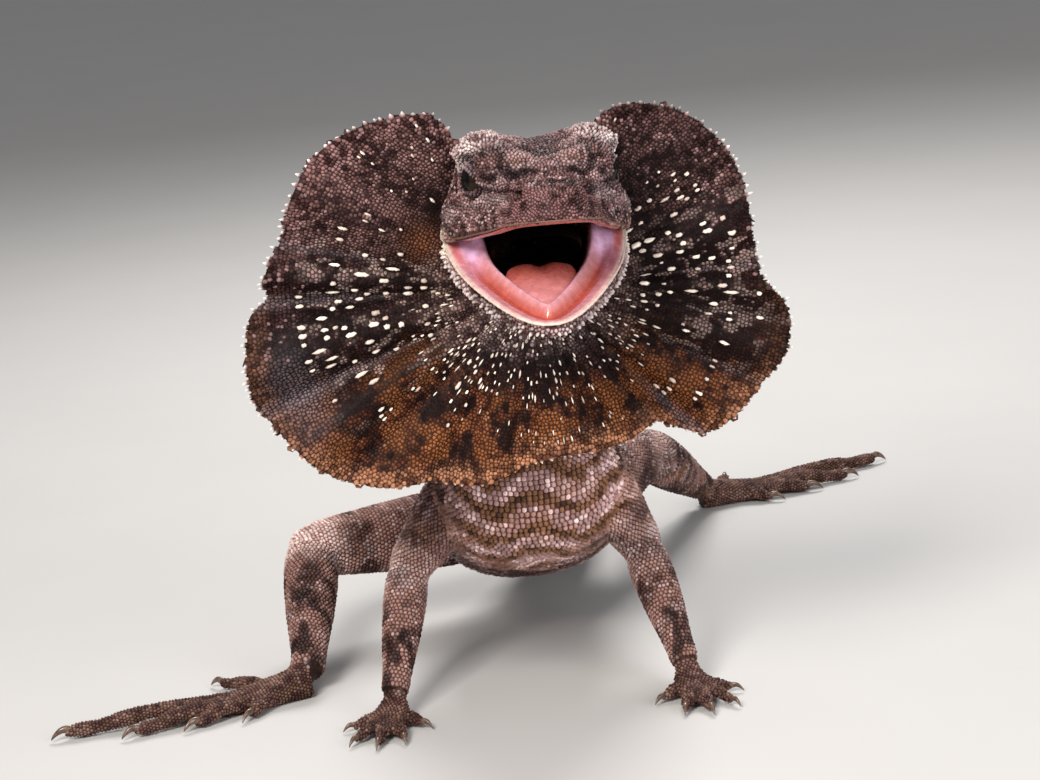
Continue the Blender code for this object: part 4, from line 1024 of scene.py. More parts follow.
def eyeRing(x, forward, up):
    # elliptic distance from the nearer eye's slit
    gaps = []
    for side in (-1, 1):
        slit, across, outward = eyeAxes(side)
        offset = np.stack([x, forward, up], axis=-1) - np.array(eyeShape["place"]) * (side, 1, 1)
        ring = np.sqrt((offset @ slit / eyeShape["long"]) ** 2 + (offset @ across / eyeShape["high"]) ** 2)
        gaps.append(np.where(offset @ outward > 0, ring, 9.0))
    return np.minimum(*gaps)


def bodyTones(points, seed=9):
    patch, fine = noise(points, 9.0, seed), noise(points, 1.3, seed + 1)
    fleck = noise(points * (1.0, 1.0, 2.2), 2.2, seed + 4)
    ahead = points[:, 1] - np.interp(points[:, 2], [38, 48, 63, 81, 96], [58, 42, 32.5, 24, 18.5])
    front = ease(3.0, -5.0, ahead) * ease(62.0, 44.0, points[:, 1])
    front = front * ease(-30.0, -18.0, points[:, 0]) * ease(22.0, 12.0, points[:, 0])
    sway = points[:, 2] + 0.10 * points[:, 0] + 2.5 * np.sin(points[:, 0] * 0.33) + 7.0 * (patch - 0.5)
    wave = np.where(front > 0.5, np.sin(sway * 0.80), np.sin(points[:, 1] * 0.28 + 6.0 * (patch - 0.5)))
    wave = wave + (1.6 + 0.9 * front) * (fleck - 0.5)
    colour = mixed(tones["umber"], tones["clay"], ease(0.3, 0.6, fine))
    colour = mixed(colour, mixed((0.17, 0.095, 0.085), (0.30, 0.195, 0.19), fine), front * 0.9)
    colour = mixed(colour, tones["rose"], ease(0.2, 0.9, wave) * ease(0.4, 0.6, fine) * 0.85)
    pale = ease(0.1, 0.9, wave) * ease(0.48, 0.66, fine)
    colour = mixed(colour, tones["ash"], pale * (0.6 + 0.3 * front))
    colour = mixed(colour, (0.12, 0.055, 0.024), front * ease(-0.05, -0.5, wave) * 0.9)
    colour = mixed(colour, tones["night"], ease(-0.35 - 0.35 * front, -1.0 - 0.4 * front, wave) * 0.8)
    ochre = ease(0.5, 0.64, noise(points, 5.0, seed + 2)) * ease(-0.7, 0.3, wave)
    colour = mixed(colour, tones["ochre"], ochre * (0.55 - 0.25 * front))
    flanks = ease(0.62, 0.74, noise(points, 2.4, seed + 5)) * (1 - front)
    colour = mixed(colour, tones["ash"], flanks * 0.45)
    # the chest's tone is brightened up to 1.9 times as painted light, where the frill shades it
    return np.minimum(colour * (1 + 0.9 * front)[:, None], 0.9)


def limbTones(points, seed=15):
    patch, fine = noise(points, 4.2, seed), noise(points, 1.1, seed + 1)
    streak = noise(points * (1.0, 1.0, 0.45), 2.6, seed + 3)
    colour = mixed((0.062, 0.028, 0.022), (0.25, 0.138, 0.113), ease(0.32, 0.6, patch))
    colour = mixed(colour, tones["ash"], ease(0.54, 0.74, fine) * 0.5)
    for limb, joints in bodyShape["joints"].items():
        gap = np.linalg.norm(points - np.array(joints[1]), axis=1)
        bright = ease(12.0, 4.0, gap) * (0.85 if limb == "right_leg" else 0.3)
        colour = mixed(colour, mixed((0.46, 0.29, 0.25), (0.85, 0.66, 0.62), ease(0.3, 0.6, fine)), bright)
    colour = mixed(colour, tones["night"], ease(0.47, 0.36, streak) * ease(26.0, 16.0, points[:, 2] - 2) * 0.85)
    feet = ease(9.0, 5.0, points[:, 2])
    return mixed(colour, mixed(tones["umber"], (0.13, 0.07, 0.045), ease(0.35, 0.65, fine)), feet * 0.75)


def fleshTones(points):
    # limbs by their distance to the trunk's middle line, the rest as trunk
    share = np.zeros(len(points))
    for root, middle, end in bodyShape["joints"].values():
        for start, stop in ((root, middle), (middle, end)):
            start, stop = np.array(start), np.array(stop)
            way = stop - start
            place = np.clip((points - start) @ way / (way @ way), 0, 1)
            gap = np.linalg.norm(points - start - place[:, None] * way, axis=1)
            near = ease(11.0, 8.0, gap) * (ease(0.25, 0.7, place) if start[2] > 30 or start[1] > 100 else 1.0)
            share = np.maximum(share, near)
    share = np.maximum(share, ease(8.0, 5.0, points[:, 2]) * ease(12.0, 18.0, np.abs(points[:, 0] + 3)))
    return mixed(bodyTones(points), limbTones(points), share)


headSurface, bodySurface = surfaceOf(headShell), surfaceOf(bodyShell)


def insideMouth(points):
    # whether each point lies within the open mouth
    x, forward, up = np.moveaxis(localTo(palateFrame, points), -1, 0)
    jx, jawForward, jawUp = np.moveaxis(localTo(jawFrame, points), -1, 0)
    under = (up < 0.6) & (np.abs(x) < along(forward, headShape["width"]) - 0.5) & (forward > -2)
    floor = np.minimum(jawFloor(jx, jawForward)[0], jawFloor(0.85 * jx, jawForward)[0]) - 0.8
    floor = np.maximum(np.minimum(floor, -0.9), -0.8 * along(jawForward, headShape["jawDepth"]))
    over = (jawUp > floor) & (np.abs(jx) < along(jawForward, headShape["jawWidth"]) - 0.7) & (jawForward > -2)
    return (under & (jawUp > -12)) & (over | (jawUp > 0)) | (over & (up < 0.6))


def square(vector):
    return vector @ vector


def spreadSeeds(points, radii):
    # a random choice among the shell's own points, none closer than its radius, evened out
    cell, rounds = 0.7, 3
    around = [(i, j, k) for i in (-1, 0, 1) for j in (-1, 0, 1) for k in (-1, 0, 1)]
    chosen, bins = [], {}
    for index in np.random.default_rng(11).permutation(len(points)):
        spot, least = points[index], radii[index] ** 2
        x, y, z = (int(value) for value in spot // cell)
        near = (other for i, j, k in around for other in bins.get((x + i, y + j, z + k), ()))
        if not any(square(points[other] - spot) < least for other in near):
            chosen.append(index)
            bins.setdefault((x, y, z), []).append(index)
    seeds = points[chosen]
    for _ in range(rounds):
        tree = treeOf(seeds)
        owner = np.array([tree.find(Vector(point))[1] for point in points])
        total, count = np.zeros_like(seeds), np.zeros(len(seeds))
        np.add.at(total, owner, points)
        np.add.at(count, owner, 1)
        seeds = np.where(count[:, None] > 0, total / np.maximum(count, 1)[:, None], seeds)
    return seeds


def dressHead():
    points = meshPoints(headShell)
    x, forward, up = np.moveaxis(localTo(palateFrame, points), -1, 0)
    eyeGap = np.linalg.norm(np.stack([np.abs(x), forward, up], axis=-1) - np.array(eyeShape["place"]), axis=-1)
    nostril = np.sqrt((np.abs(x) - 8.0) ** 2 + 0.25 * (forward - 32.4) ** 2 + (up - 6.3) ** 2)
    keep = ~insideMouth(points) & (eyeGap > eyeShape["radius"] + 0.05) & (points[:, 1] < 22) & (nostril > 0.75)
    points, forward, up = points[keep], forward[keep], up[keep]
    shown = ease(8.0, 14.0, forward) * ease(-1.0, 2.0, up)
    radii = 0.66 - 0.14 * shown - 0.06 * ease(26.0, 30.0, forward) * ease(11.0, 8.0, up) * shown
    seeds = spreadSeeds(points, radii)
    seeds, facing, keep = onSurface(headSurface, seeds, 1.0)
    seeds, facing = seeds[keep], facing[keep]
    local = localTo(palateFrame, seeds)
    way = np.repeat(palateFrame[:3, 1][None] * -1, len(seeds), 0)
    sizes = np.full(len(seeds), 0.85)
    unwrap = np.stack([np.arctan2(local[:, 0], local[:, 2] + 6) * 12, local[:, 1]], axis=-1)
    # the third value is the painted shade at the foot of each head scale
    paint, colours = scalePaint("head_scales", 0.5, (0.08, 0.045, 0.045)), headTones(seeds)
    # along the jaw's edge and the brow the scales stand up and are paler
    jawForward, jawUp = np.moveaxis(localTo(jawFrame, seeds), -1, 0)[1:]
    fringe = bump(jawUp, -2.6, 1.5) * (local[:, 2] < 0) * (jawForward > 0) * (facing[:, 2] > -0.75)
    crown = bump(local[:, 2], 17.5, 2.2) * ease(6.0, 9.0, np.abs(local[:, 0])) * ease(4.0, 10.0, local[:, 1])
    picked = np.random.default_rng(6).random(len(seeds)) < 0.4
    raised = np.maximum(fringe, crown * 0.6) * picked
    colours = mixed(colours, mixed(tones["ash"], tones["white"], 0.3), raised * 0.85)
    coat = scaleShape["head"]
    heights = coat["height"] + 0.75 * raised
    for side, part in (("right", local[:, 0] < 0), ("left", local[:, 0] >= 0)):
        layScales("scales_head_" + side, coat, seeds, facing, way, sizes, colours, unwrap, paint, heights,
                  part=part)


def dressTubes(name, grids, pitch, reject=None):
    seeds, ways, places = [], [], []
    for number, grid in enumerate(grids):
        some, way, place = gridLattice(grid, pitch)
        place[:, 1] += number * 1.2
        seeds.append(some)
        ways.append(way)
        places.append(place)
    seeds, ways, places = np.vstack(seeds), np.vstack(ways), np.vstack(places)
    seeds = seeds + np.random.default_rng(len(seeds)).uniform(-0.15, 0.15, seeds.shape) * places[:, 2:]
    seeds, facing, keep = onSurface(bodySurface, seeds, 1.3)
    if reject:
        keep &= ~reject(seeds)
    keep &= seeds[:, 2] > 0.25
    seeds, facing, ways, places = seeds[keep], facing[keep], ways[keep], places[keep]
    keep = thinned(seeds, places[:, 2])
    seeds, facing, ways, places = seeds[keep], facing[keep], ways[keep], places[keep]
    layScales(name, scaleShape["body"], seeds, facing, ways, places[:, 2], fleshTones(seeds), places[:, :2],
              bodyPaint)


bodyCoat = {
    # where the coats of chest, back and tail begin, as shares of the spine, and the width of their scales
    "chest": 0.05, "back": 0.24, "tail": 0.40, "chestScale": 1.2, "backScale": 1.7,
    "tailTaper": 0.75, "limbScale": 0.98, "toeScale": 0.85,
}

dressHead()
# the third value is the painted shade at the foot of each body scale
bodyPaint = scalePaint("body_scales", 0.52, (0.34, 0.25, 0.25))
chest, back, tail = (int(len(spineGrid) * bodyCoat[key]) for key in ("chest", "back", "tail"))
# none on the throat, where the frill lies against it
dressTubes("scales_front", [spineGrid[chest:back]], bodyCoat["chestScale"],
           lambda spots: (spots[:, 1] < 17) & (spots[:, 2] > 62))
dressTubes("scales_back", [spineGrid[back:tail]], bodyCoat["backScale"])
dressTubes("scales_tail", [spineGrid[tail:]], lambda share: bodyCoat["backScale"] - bodyCoat["tailTaper"] * share)
for side in ("right", "left"):
    for part, grids, size in (("_limbs", limbGrids, "limbScale"), ("_toes", footGrids, "toeScale")):
        dressTubes("scales_" + side + part, grids[side + "_arm"] + grids[side + "_leg"], bodyCoat[size])


# mouth lining, tongue, lips
# painted shadow: near black for the deep throat, where the mouth lies in shade
throatShade = (0.012, 0.002, 0.002)


def wetPiece(name, points, faces, colours, paint):
    piece = newPiece(name, points.reshape(-1, 3), faces, paint)
    giveColour(piece, colours.reshape(-1, 3))
    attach(piece, "root")
    return piece


def jawLining(rows=130, columns=121):
    forward = np.linspace(-3.0, 39.45, rows)
    wide = along(forward, headShape["jawWidth"]) - 0.05
    x = np.linspace(-1, 1, columns)[None] * wide[:, None]
    ahead = np.repeat(forward[:, None], columns, 1)
    height, edge, mound, throat = jawFloor(x, ahead)
    grid = np.stack([x, ahead, height], axis=-1)
    keys = [pair[0] for pair in mouthShape["colours"]]
    shades = np.array([pair[1] for pair in mouthShape["colours"]])
    colour = np.stack([np.interp(edge, keys, shades[:, k]) for k in range(3)], axis=-1)
    corner = ease(15.0, 9.0, ahead) * ease(-3.0, 0.0, ahead)
    # painted shade: dark red-brown deeper in at the mouth's corners, grading into the throat's painted shadow
    colour = mixed(colour, (0.34, 0.06, 0.045), corner * ease(5.2, 7.0, edge) * 0.9)
    violet = np.clip(mound * 1.7, 0, 1) * ease(1.7, 2.6, edge) * ease(7.4, 5.8, edge)
    colour = mixed(colour, (0.98, 0.66, 0.96), violet)
    colour = mixed(colour, (0.52, 0.11, 0.10), corner * bump(edge, 1.25, 0.75) * 0.75)
    colour = mixed(colour, (0.88, 0.74, 0.60), corner * ease(0.55, 0.15, edge) * 0.8)
    # the floor's back, over the throat, painted near black as painted shadow
    colour = mixed(colour, throatShade, np.clip(throat * 1.2, 0, 1))
    wetPiece("mouth_floor", placed(jawFrame, grid), sheetFaces(rows, columns), colour,
             wetPaint("gums", 0.14, 0.7, 0.13, Coat_Weight=1.0))


def palateLining(rows=110, columns=101):
    forward = np.linspace(-3.0, 39.8, rows)
    wide = along(forward, headShape["width"]) * 0.95
    x = np.linspace(-1, 1, columns)[None] * wide[:, None]
    ahead = np.repeat(forward[:, None], columns, 1)
    height, edge = palateVault(x, ahead)
    grid = np.stack([x, ahead, height - 0.25], axis=-1)
    # the palate's lining darkens from its edge inward and towards the back, painted shade under the roof of the
    # mouth
    colour = mixed((0.42, 0.11, 0.085), (0.13, 0.015, 0.012), ease(1.0, 7.0, edge))
    colour = mixed(colour, (0.03, 0.004, 0.004), ease(22.0, 10.0, ahead) * ease(6.0, 10.0, edge))
    wetPiece("palate", placed(palateFrame, grid), sheetFaces(rows, columns), colour,
             wetPaint("palate", 0.25, Coat_Weight=0.5))


def throatLining(columns=48):
    grid = tubeGrid(skinShape["throat"], 0.8, columns)
    middle = grid.mean(axis=1, keepdims=True)
    grid = (middle + (grid - middle) * 0.985)[2:]
    # the throat's lining is a near black tube standing for the shade deep in the throat
    wetPiece("throat", grid, sheetFaces(len(grid), columns, True), np.full(grid.shape, throatShade),
             wetPaint("throat", 0.5))


tongueShape = {
    # forward, half width, top above the lip's plane, bottom
    "rows": [(12.0, 4.6, -0.9, -3.4), (15.0, 6.4, 0.5, -3.4), (19.0, 6.8, 1.0, -3.2), (24.0, 5.8, 0.5, -2.9),
             (28.5, 4.0, -0.4, -2.6), (31.6, 2.2, -1.2, -2.4), (32.6, 0.9, -1.7, -2.2)],
    "groove": 0.9,
}


def makeTongue(rows=70, columns=64):
    here = evenly(tongueShape["rows"], rows)
    angle = np.linspace(0, 2 * math.pi, columns, endpoint=False)
    cosine, sine = np.cos(angle), np.sin(angle)
    forward, wide, top, bottom = (here[:, k:k + 1] for k in range(4))
    middle, half = (top + bottom) / 2, (top - bottom) / 2
    x = cosine[None] * wide
    z = middle + np.sign(sine) * np.abs(sine) ** 0.7 * half
    lobe = tongueShape["groove"] * np.exp(-(x / 1.6) ** 2) * ease(22.0, 14.0, forward)
    z = z - lobe * (sine[None] > 0)
    ahead = np.repeat(forward, columns, 1)
    points, faces = closedLoft(placed(jawFrame, np.stack([x, ahead, z], axis=-1)))
    colour = mixed((0.36, 0.075, 0.055), (0.60, 0.25, 0.26), ease(17, 31, ahead.ravel()))
    tongue = wetPiece("tongue_skin", points, faces, np.vstack([colour, colour[:1], colour[-1:]]),
                      wetPaint("tongue", 0.3, 0.5, 0.04, Coat_Weight=0.35))
    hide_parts("tongue")


lipShape = {
    # where the rim begins and ends, its height over the lip, radius and colour
    "lower_lip": (-1.0, 39.6, 0.05, 0.27, (0.74, 0.58, 0.50)),
    "upper_lip": (-1.0, 40.0, 0.05, 0.16, (0.16, 0.08, 0.06)),
    "beads": 64, "columns": 12,
}


def lipBeads(name, frame4, pairs, material):
    # a rounded rim along the lip, slightly beaded
    first, last, level, radius, colour = lipShape[name]
    marks = np.linspace(first, last, 160)
    rise = lipRise(marks) if frame4 is palateFrame else 0 * marks
    right = np.stack([along(marks, pairs), marks, level + rise], axis=-1)
    path = np.vstack([right, (right * np.array((-1, 1, 1)))[::-1]])
    runs = runLengths(path)
    even = np.linspace(0, runs[-1], lipShape["beads"] * 8)
    path = np.stack([np.interp(even, runs, path[:, k]) for k in range(3)], axis=-1)
    kernel = np.ones(9) / 9
    for k in range(2):
        path[4:-4, k] = np.convolve(path[:, k], kernel, "valid")
    size = radius * (1 + 0.12 * np.cos(np.arange(len(path)) * 2 * math.pi / 8))
    size *= np.minimum(1, np.minimum(np.arange(len(path)), np.arange(len(path))[::-1]) / 14 + 0.2)
    grid = ringsAlong(placed(frame4, path), size * 0.8, size, lipShape["columns"])
    wetPiece(name, grid, sheetFaces(len(grid), lipShape["columns"], True), np.full(grid.shape, colour), material)


def ringsAlong(path, wide, high, columns):
    ahead = unit(np.gradient(path, axis=0))
    up = np.array((0, 0, 1.0))
    side = unit(np.cross(ahead, up))
    top = np.cross(side, ahead)
    angle = np.linspace(0, 2 * math.pi, columns, endpoint=False)
    return (path[:, None] + side[:, None] * (np.cos(angle)[None] * wide[:, None])[..., None]
            + top[:, None] * (np.sin(angle)[None] * high[:, None])[..., None])


jawLining()
palateLining()
throatLining()
makeTongue()
lipPaint = wetPaint("lips", 0.35, 0.2)
lipBeads("lower_lip", jawFrame, headShape["jawWidth"], lipPaint)
lipBeads("upper_lip", palateFrame, headShape["width"], lipPaint)
print("mouth made")


# eyes and lids
irisStops = [
    # place between the pupil's middle and the ball's side, colour
    (0.0, (0.002, 0.002, 0.002, 1)), (0.30, (0.002, 0.002, 0.002, 1)), (0.34, (0.018, 0.009, 0.005, 1)),
    (0.6, (0.008, 0.005, 0.003, 1)), (1.0, (0.006, 0.004, 0.003, 1)),
]


def makeEyes(rows=40, columns=48):
    paint = Paint("wet_eye", 0.08, Specular_IOR_Level=0.14)
    ring = paint.attribute("iris", True)
    material = paint.done(paint.node("ValToRGB", {"stops": irisStops}, 0, Fac=ring))
    polar = np.linspace(0, math.pi, rows)
    turn = np.linspace(0, 2 * math.pi, columns, endpoint=False)
    rise, away = np.cos(polar)[:, None, None], np.sin(polar)[:, None]
    for side, node in ((-1, "eye_right"), (1, "eye_left")):
        look = eyeAxes(side)[2]
        first = unit(np.cross(look, (0, 0, 1.0)))
        second = np.cross(first, look)
        shell = (look * rise + first * (away * np.cos(turn)[None])[..., None]
                 + second * (away * np.sin(turn)[None])[..., None])
        grid = np.array(eyeShape["place"]) * np.array((side, 1, 1)) + shell * eyeShape["radius"]
        points, faces = closedLoft(placed(palateFrame, grid))
        eye = newPiece(node + "_wet", points, faces, material)
        share = np.repeat(polar / (math.pi / 2), columns)
        giveValue(eye, "iris", np.concatenate([share, [0, 2]]))
        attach(eye, "root")
        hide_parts(node)


makeEyes()


# claws
def makeClaws():
    paint = Paint("horn", 0.35, Coat_Weight=0.3)
    shade = paint.span(paint.grain(1.2, 3.0), 0.3, 0.7)
    material = paint.done(paint.blend(shade, (0.05, 0.026, 0.018), (0.16, 0.09, 0.055)))
    lowest = (-np.inf, -np.inf, 0.05)
    claws = newPiece("claws", *joinedLofts([np.maximum(grid, lowest) for grid in clawGrids]), material)
    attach(claws, "root")


makeClaws()


# coat and spines of the frill
spotZones = [
    # from angle, to angle, from radius, to radius, count, size, clusters, narrowness
    (-116, -92, 22, 40, 30, 1.35, 5, 1), (-94, -58, 20, 47, 84, 1.4, 10, 1), (-62, -36, 20, 40, 18, 1.0, 5, 1),
    (100, 122, 22, 38, 20, 1.2, 5, 1), (72, 106, 22, 46, 60, 1.3, 10, 1), (44, 76, 20, 40, 22, 1.0, 5, 1),
    (-152, -118, 20, 44, 22, 0.75, 6, 1), (120, 150, 22, 42, 18, 0.75, 6, 1),
    (-58, 58, 10.5, 23, 170, 0.75, 26, 0.75), (-48, 48, 18, 32, 70, 0.8, 14, 0.5),
    (-95, -50, 16, 26, 46, 0.9, 9, 0.6), (50, 95, 16, 26, 46, 0.9, 9, 0.6),
]


def overlapping(one, other):
    sideways = abs(one[0] - other[0]) * math.pi / 180 * one[1]
    return sideways < 1.15 * (one[3] + other[3]) and abs(one[1] - other[1]) < 1.1 * (one[2] + other[2])


def frillSpots():
    # raised cream scales: angle, radius, half length, half width, paleness
    draw = np.random.default_rng(21)
    spots, clear = [], []
    for low, high, near, far, count, size, clusters, narrow in spotZones:
        middles = np.stack([draw.uniform(low, high, clusters), draw.uniform(near, far, clusters)], axis=-1)
        for number in range(count):
            middle = middles[number % clusters]
            spread = draw.normal(0, 1, 2) * (0.14 * (high - low), 0.27 * (far - near))
            angle, radius = np.clip(middle + spread, (low, near), (high, far))
            long = size * draw.choice([0.55, 0.75, 1.0, 1.35], p=[0.35, 0.3, 0.22, 0.13])
            wide = size * narrow * draw.uniform(0.3, 0.46)
            spots.append((angle, radius, long, wide, draw.uniform(0.2, 1.0) ** 0.7))
    for spot in spots:
        if not any(overlapping(spot, other) for other in clear):
            clear.append(spot)
    return np.array(clear)


spots = frillSpots()


def onSpot(angle, radius, room=1.0):
    # how far each place lies within a cream scale
    share = np.zeros(len(angle))
    for spot, reach, long, wide, strength in spots:
        near = np.abs(angle - spot) < 6
        sideways = (angle[near] - spot) * math.pi / 180 * radius[near]
        inside = (sideways / (wide * room)) ** 2 + ((radius[near] - reach) / (long * room)) ** 2
        share[near] = np.maximum(share[near], (inside < 1) * strength)
    return share


def rayNoise(angle, radius, size, seed):
    # drawn out along the frill's rays
    return noise(np.stack([angle, radius, np.zeros_like(angle)], axis=-1), size, seed, 2)


def frillTones(angle, radius, points, back=False):
    rim = along(angle, frillShape["rim"])
    patch, fine = noise(points, 6.5, 31), noise(points, 1.1, 33)
    streak = rayNoise(angle * 0.55, radius * 0.12, 1.6, 35)
    colour = mixed((0.006, 0.002, 0.002), (0.05, 0.022, 0.021), ease(0.42, 0.68, 0.5 * patch + 0.5 * fine))
    upper = ease(92, 118, np.abs(angle)) * ease(22, 36, radius)
    mottled = mixed((0.03, 0.012, 0.012), (0.24, 0.13, 0.12), ease(0.36, 0.64, 0.6 * fine + 0.4 * streak))
    colour = mixed(colour, mottled, upper * np.where(angle < 0, 0.95, 0.34))
    lower = ease(86, 56, np.abs(angle)) * ease(16, 26, radius)
    bib = mixed((0.012, 0.003, 0.002), (0.175, 0.052, 0.019), ease(0.38, 0.64, 0.45 * streak + 0.55 * fine))
    bib = mixed(bib, (0.34, 0.16, 0.085), 0.75 * ease(0.6, 0.74, 0.3 * streak + 0.7 * fine))
    cloud = noise(points, 4.5, 43, 2)
    bib = mixed(bib, (0.30, 0.105, 0.032), 0.6 * ease(0.52, 0.66, cloud))
    bib = mixed(bib, (0.014, 0.004, 0.003), 0.75 * ease(0.46, 0.36, cloud))
    colour = mixed(colour, bib, lower * 0.9)
    edge = ease(6.5, 0.8, rim - radius) * ease(105, 60, np.abs(angle))
    colour = mixed(colour, mixed((0.10, 0.040, 0.022), (0.42, 0.20, 0.11), ease(0.35, 0.65, fine)), edge * 0.8)
    near = ease(25, 18, radius) * ease(42, 62, np.abs(angle)) * ease(128, 112, np.abs(angle))
    colour = mixed(colour, mixed((0.07, 0.035, 0.032), (0.34, 0.23, 0.20), ease(0.4, 0.66, fine)),
                   near * np.where(angle < 0, 0.8, 0.5))
    throat = ease(17, 10, radius) * ease(75, 50, np.abs(angle))
    colour = mixed(colour, mixed((0.10, 0.06, 0.055), tones["ash"], ease(0.42, 0.66, fine)), throat * 0.8)
    middle = ease(118, 104, np.abs(angle)) * ease(52, 70, np.abs(angle))
    colour = mixed(colour, tones["night"], middle * (1 - near) * np.where(angle < 0, 0.35, 0.8))
    if not back:
        clump = ease(0.60, 0.70, rayNoise(angle * 0.6, radius * 0.45, 1.3, 37))
        colour = mixed(colour, (0.36, 0.26, 0.23), clump * middle * ease(18, 24, radius) * ease(50, 42, radius)
                       * np.where(angle < 0, 0.7, 0.45))
    # how sharply the sheet is folded, from a table of four places to a degree; folds painted paler as painted
    # highlight, valleys darker as painted shade
    bends = np.gradient(np.gradient(along(np.linspace(-160, 156, 1265), frillShape["folds"])))
    bend = bends[np.clip(((angle + 160) * 4).astype(int), 0, 1264)]
    foldHighlight, valleyShade = ease(0.3, 1.0, bend * -40), ease(0.3, 1.0, bend * 40)
    colour = mixed(colour, (0.17, 0.13, 0.14), foldHighlight * 0.45 * ease(24, 38, radius) * (0.5 + fine))
    colour = mixed(colour, tones["night"], valleyShade * 0.6)
    # a painted sheen: a pale grey-violet reflection painted on the lower left lobe near the rim
    sheen = np.exp(-((angle + 72) / 9) ** 2 - ((radius - 51) / 5) ** 2)
    colour = mixed(colour, (0.20, 0.17, 0.19), sheen * 0.5 * (0.4 + fine))
    flush = np.exp(-((angle + 118) / 9) ** 2 - ((radius - 24) / 4) ** 2)
    colour = mixed(colour, (0.20, 0.075, 0.035), flush * 0.8)
    if back:
        return mixed(colour, tones["clay"], 0.45)
    fleck = ease(0.7, 0.78, noise(points, 0.9, 41, 1)) * ease(60, 100, np.abs(angle)) * ease(0.5, 0.8, radius / rim)
    colour = mixed(colour, tones["rose"], fleck * 0.6)
    return mixed(colour, tones["night"], 0.8 * (onSpot(angle, radius, 1.45) > 0) * (onSpot(angle, radius) == 0))


def frillMarks():
    # the cream scales themselves, domed and drawn out along the rays
    shown = spots[spots[:, 1] + spots[:, 2] < along(spots[:, 0], frillShape["rim"]) - 0.6]
    angle, radius = shown[:, 0], shown[:, 1]
    middle, facing = frillPoint(angle, radius), frillNormal(angle, radius)
    seeds = middle + facing * (frillShape["thick"] / 2 - 0.02)
    way = frillPoint(angle, radius + 0.3) - middle
    colour = mixed((0.36, 0.24, 0.20), (0.90, 0.80, 0.68), shown[:, 4])
    layScales("scales_frill_marks", scaleShape["marks"], seeds, facing, way, np.ones(len(shown)), colour,
              np.stack([angle, radius], axis=-1), scalePaint("frill_marks", 0.5), ovals=shown[:, 2:4])


def frillMembrane(rows=620, columns=48):
    angle = np.linspace(*frillShape["span"], rows)
    share = np.linspace(0, 1, columns) ** 0.92
    rim = along(angle, frillShape["rim"])
    radius = frillShape["root"] + (rim[:, None] - frillShape["root"]) * share[None]
    angles = np.repeat(angle[:, None], columns, 1)
    middle, normal = frillPoint(angles, radius), frillNormal(angles, radius)
    thick = frillShape["thick"] / 2 * (1 - 0.45 * ease(0.8, 1.0, share))[None, :, None]
    front, back = middle + normal * thick, middle - normal * thick
    # front out to the rim, then back in along the other face
    grid = np.concatenate([front, back[:, ::-1]], axis=1)
    piece = newPiece("frill_membrane", grid.reshape(-1, 3), sheetFaces(rows, 2 * columns))
    angles = np.concatenate([angles, angles], axis=1).ravel()
    radii = np.concatenate([radius, radius[:, ::-1]], axis=1).ravel()
    # the membrane shows between the frill's scales; its tone is darkened to 0.8 here and further by its paint, as
    # painted shade
    giveColour(piece, frillTones(angles, radii, grid.reshape(-1, 3)) * 0.8)
    v, u = np.meshgrid(np.linspace(0.02, 0.98, 2 * columns), np.linspace(0.02, 0.98, rows))
    giveUnwrap(piece, np.stack([u.ravel(), v.ravel()], axis=-1))
    piece.data.materials.append(skinPaint())
    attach(piece, "root")
    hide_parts("frill_right", "frill_throat", "frill_left")


def inFlesh(point):
    # whether a point of the frill lies inside the head or body, or just under their skin
    for surface in (headSurface, bodySurface):
        spot, direction, face, distance = surface[0].find_nearest(Vector(point))
        if spot is not None and (Vector(point) - spot).dot(direction) < 0.1 and distance < 8:
            return True
    return False


def frillScales(name, behind):
    shape = frillShape["scales"]
    marks = np.linspace(*frillShape["span"], 1600)
    draw = np.random.default_rng(8)
    pitch = shape["pitch"] * (shape["coarser"] if behind else 1.0)
    angles, radii = [], []
    radius, number = shape["from"], 0
    while radius < shape["to"]:
        runs = runLengths(frillPoint(marks, np.full(len(marks), radius)))
        wide = pitch * (0.85 + 0.25 * radius / 50)
        count = int(runs[-1] / wide)
        place = np.interp((np.arange(count) + 0.25 + 0.5 * (number % 2)) * runs[-1] / count, runs, marks)
        place = place[radius < along(place, frillShape["rim"]) - 0.3]
        if not behind:
            place = place[onSpot(place, np.full(len(place), radius), 1.12) == 0]
        jitter = draw.uniform(-0.32, 0.32, (2, len(place))) * wide
        angles.append(place + np.degrees(jitter[0] / radius))
        radii.append(radius + jitter[1])
        radius += wide * 1.02
        number += 1
    angle, radius = np.concatenate(angles), np.concatenate(radii)
    middle, normal = frillPoint(angle, radius), frillNormal(angle, radius)
    facing = -normal if behind else normal
    seeds = middle + facing * (frillShape["thick"] / 2 - 0.05)
    way = frillPoint(angle, radius + 0.3) - middle
    sizes = pitch * (0.85 + 0.25 * radius / 50) * 1.25
    clear = np.array([reach >= 26 or not inFlesh(point) for reach, point in zip(radius, seeds)])
    angle, radius, seeds, facing, way, sizes = (a[clear] for a in (angle, radius, seeds, facing, way, sizes))
    # the frill's scales get a lighter painted shade at their feet
    layScales(name, scaleShape["frill"], seeds, facing, way, sizes, frillTones(angle, radius, seeds, behind),
              np.stack([angle, radius], axis=-1), scalePaint(name, 0.5, (0.5, 0.42, 0.42), 0.05))


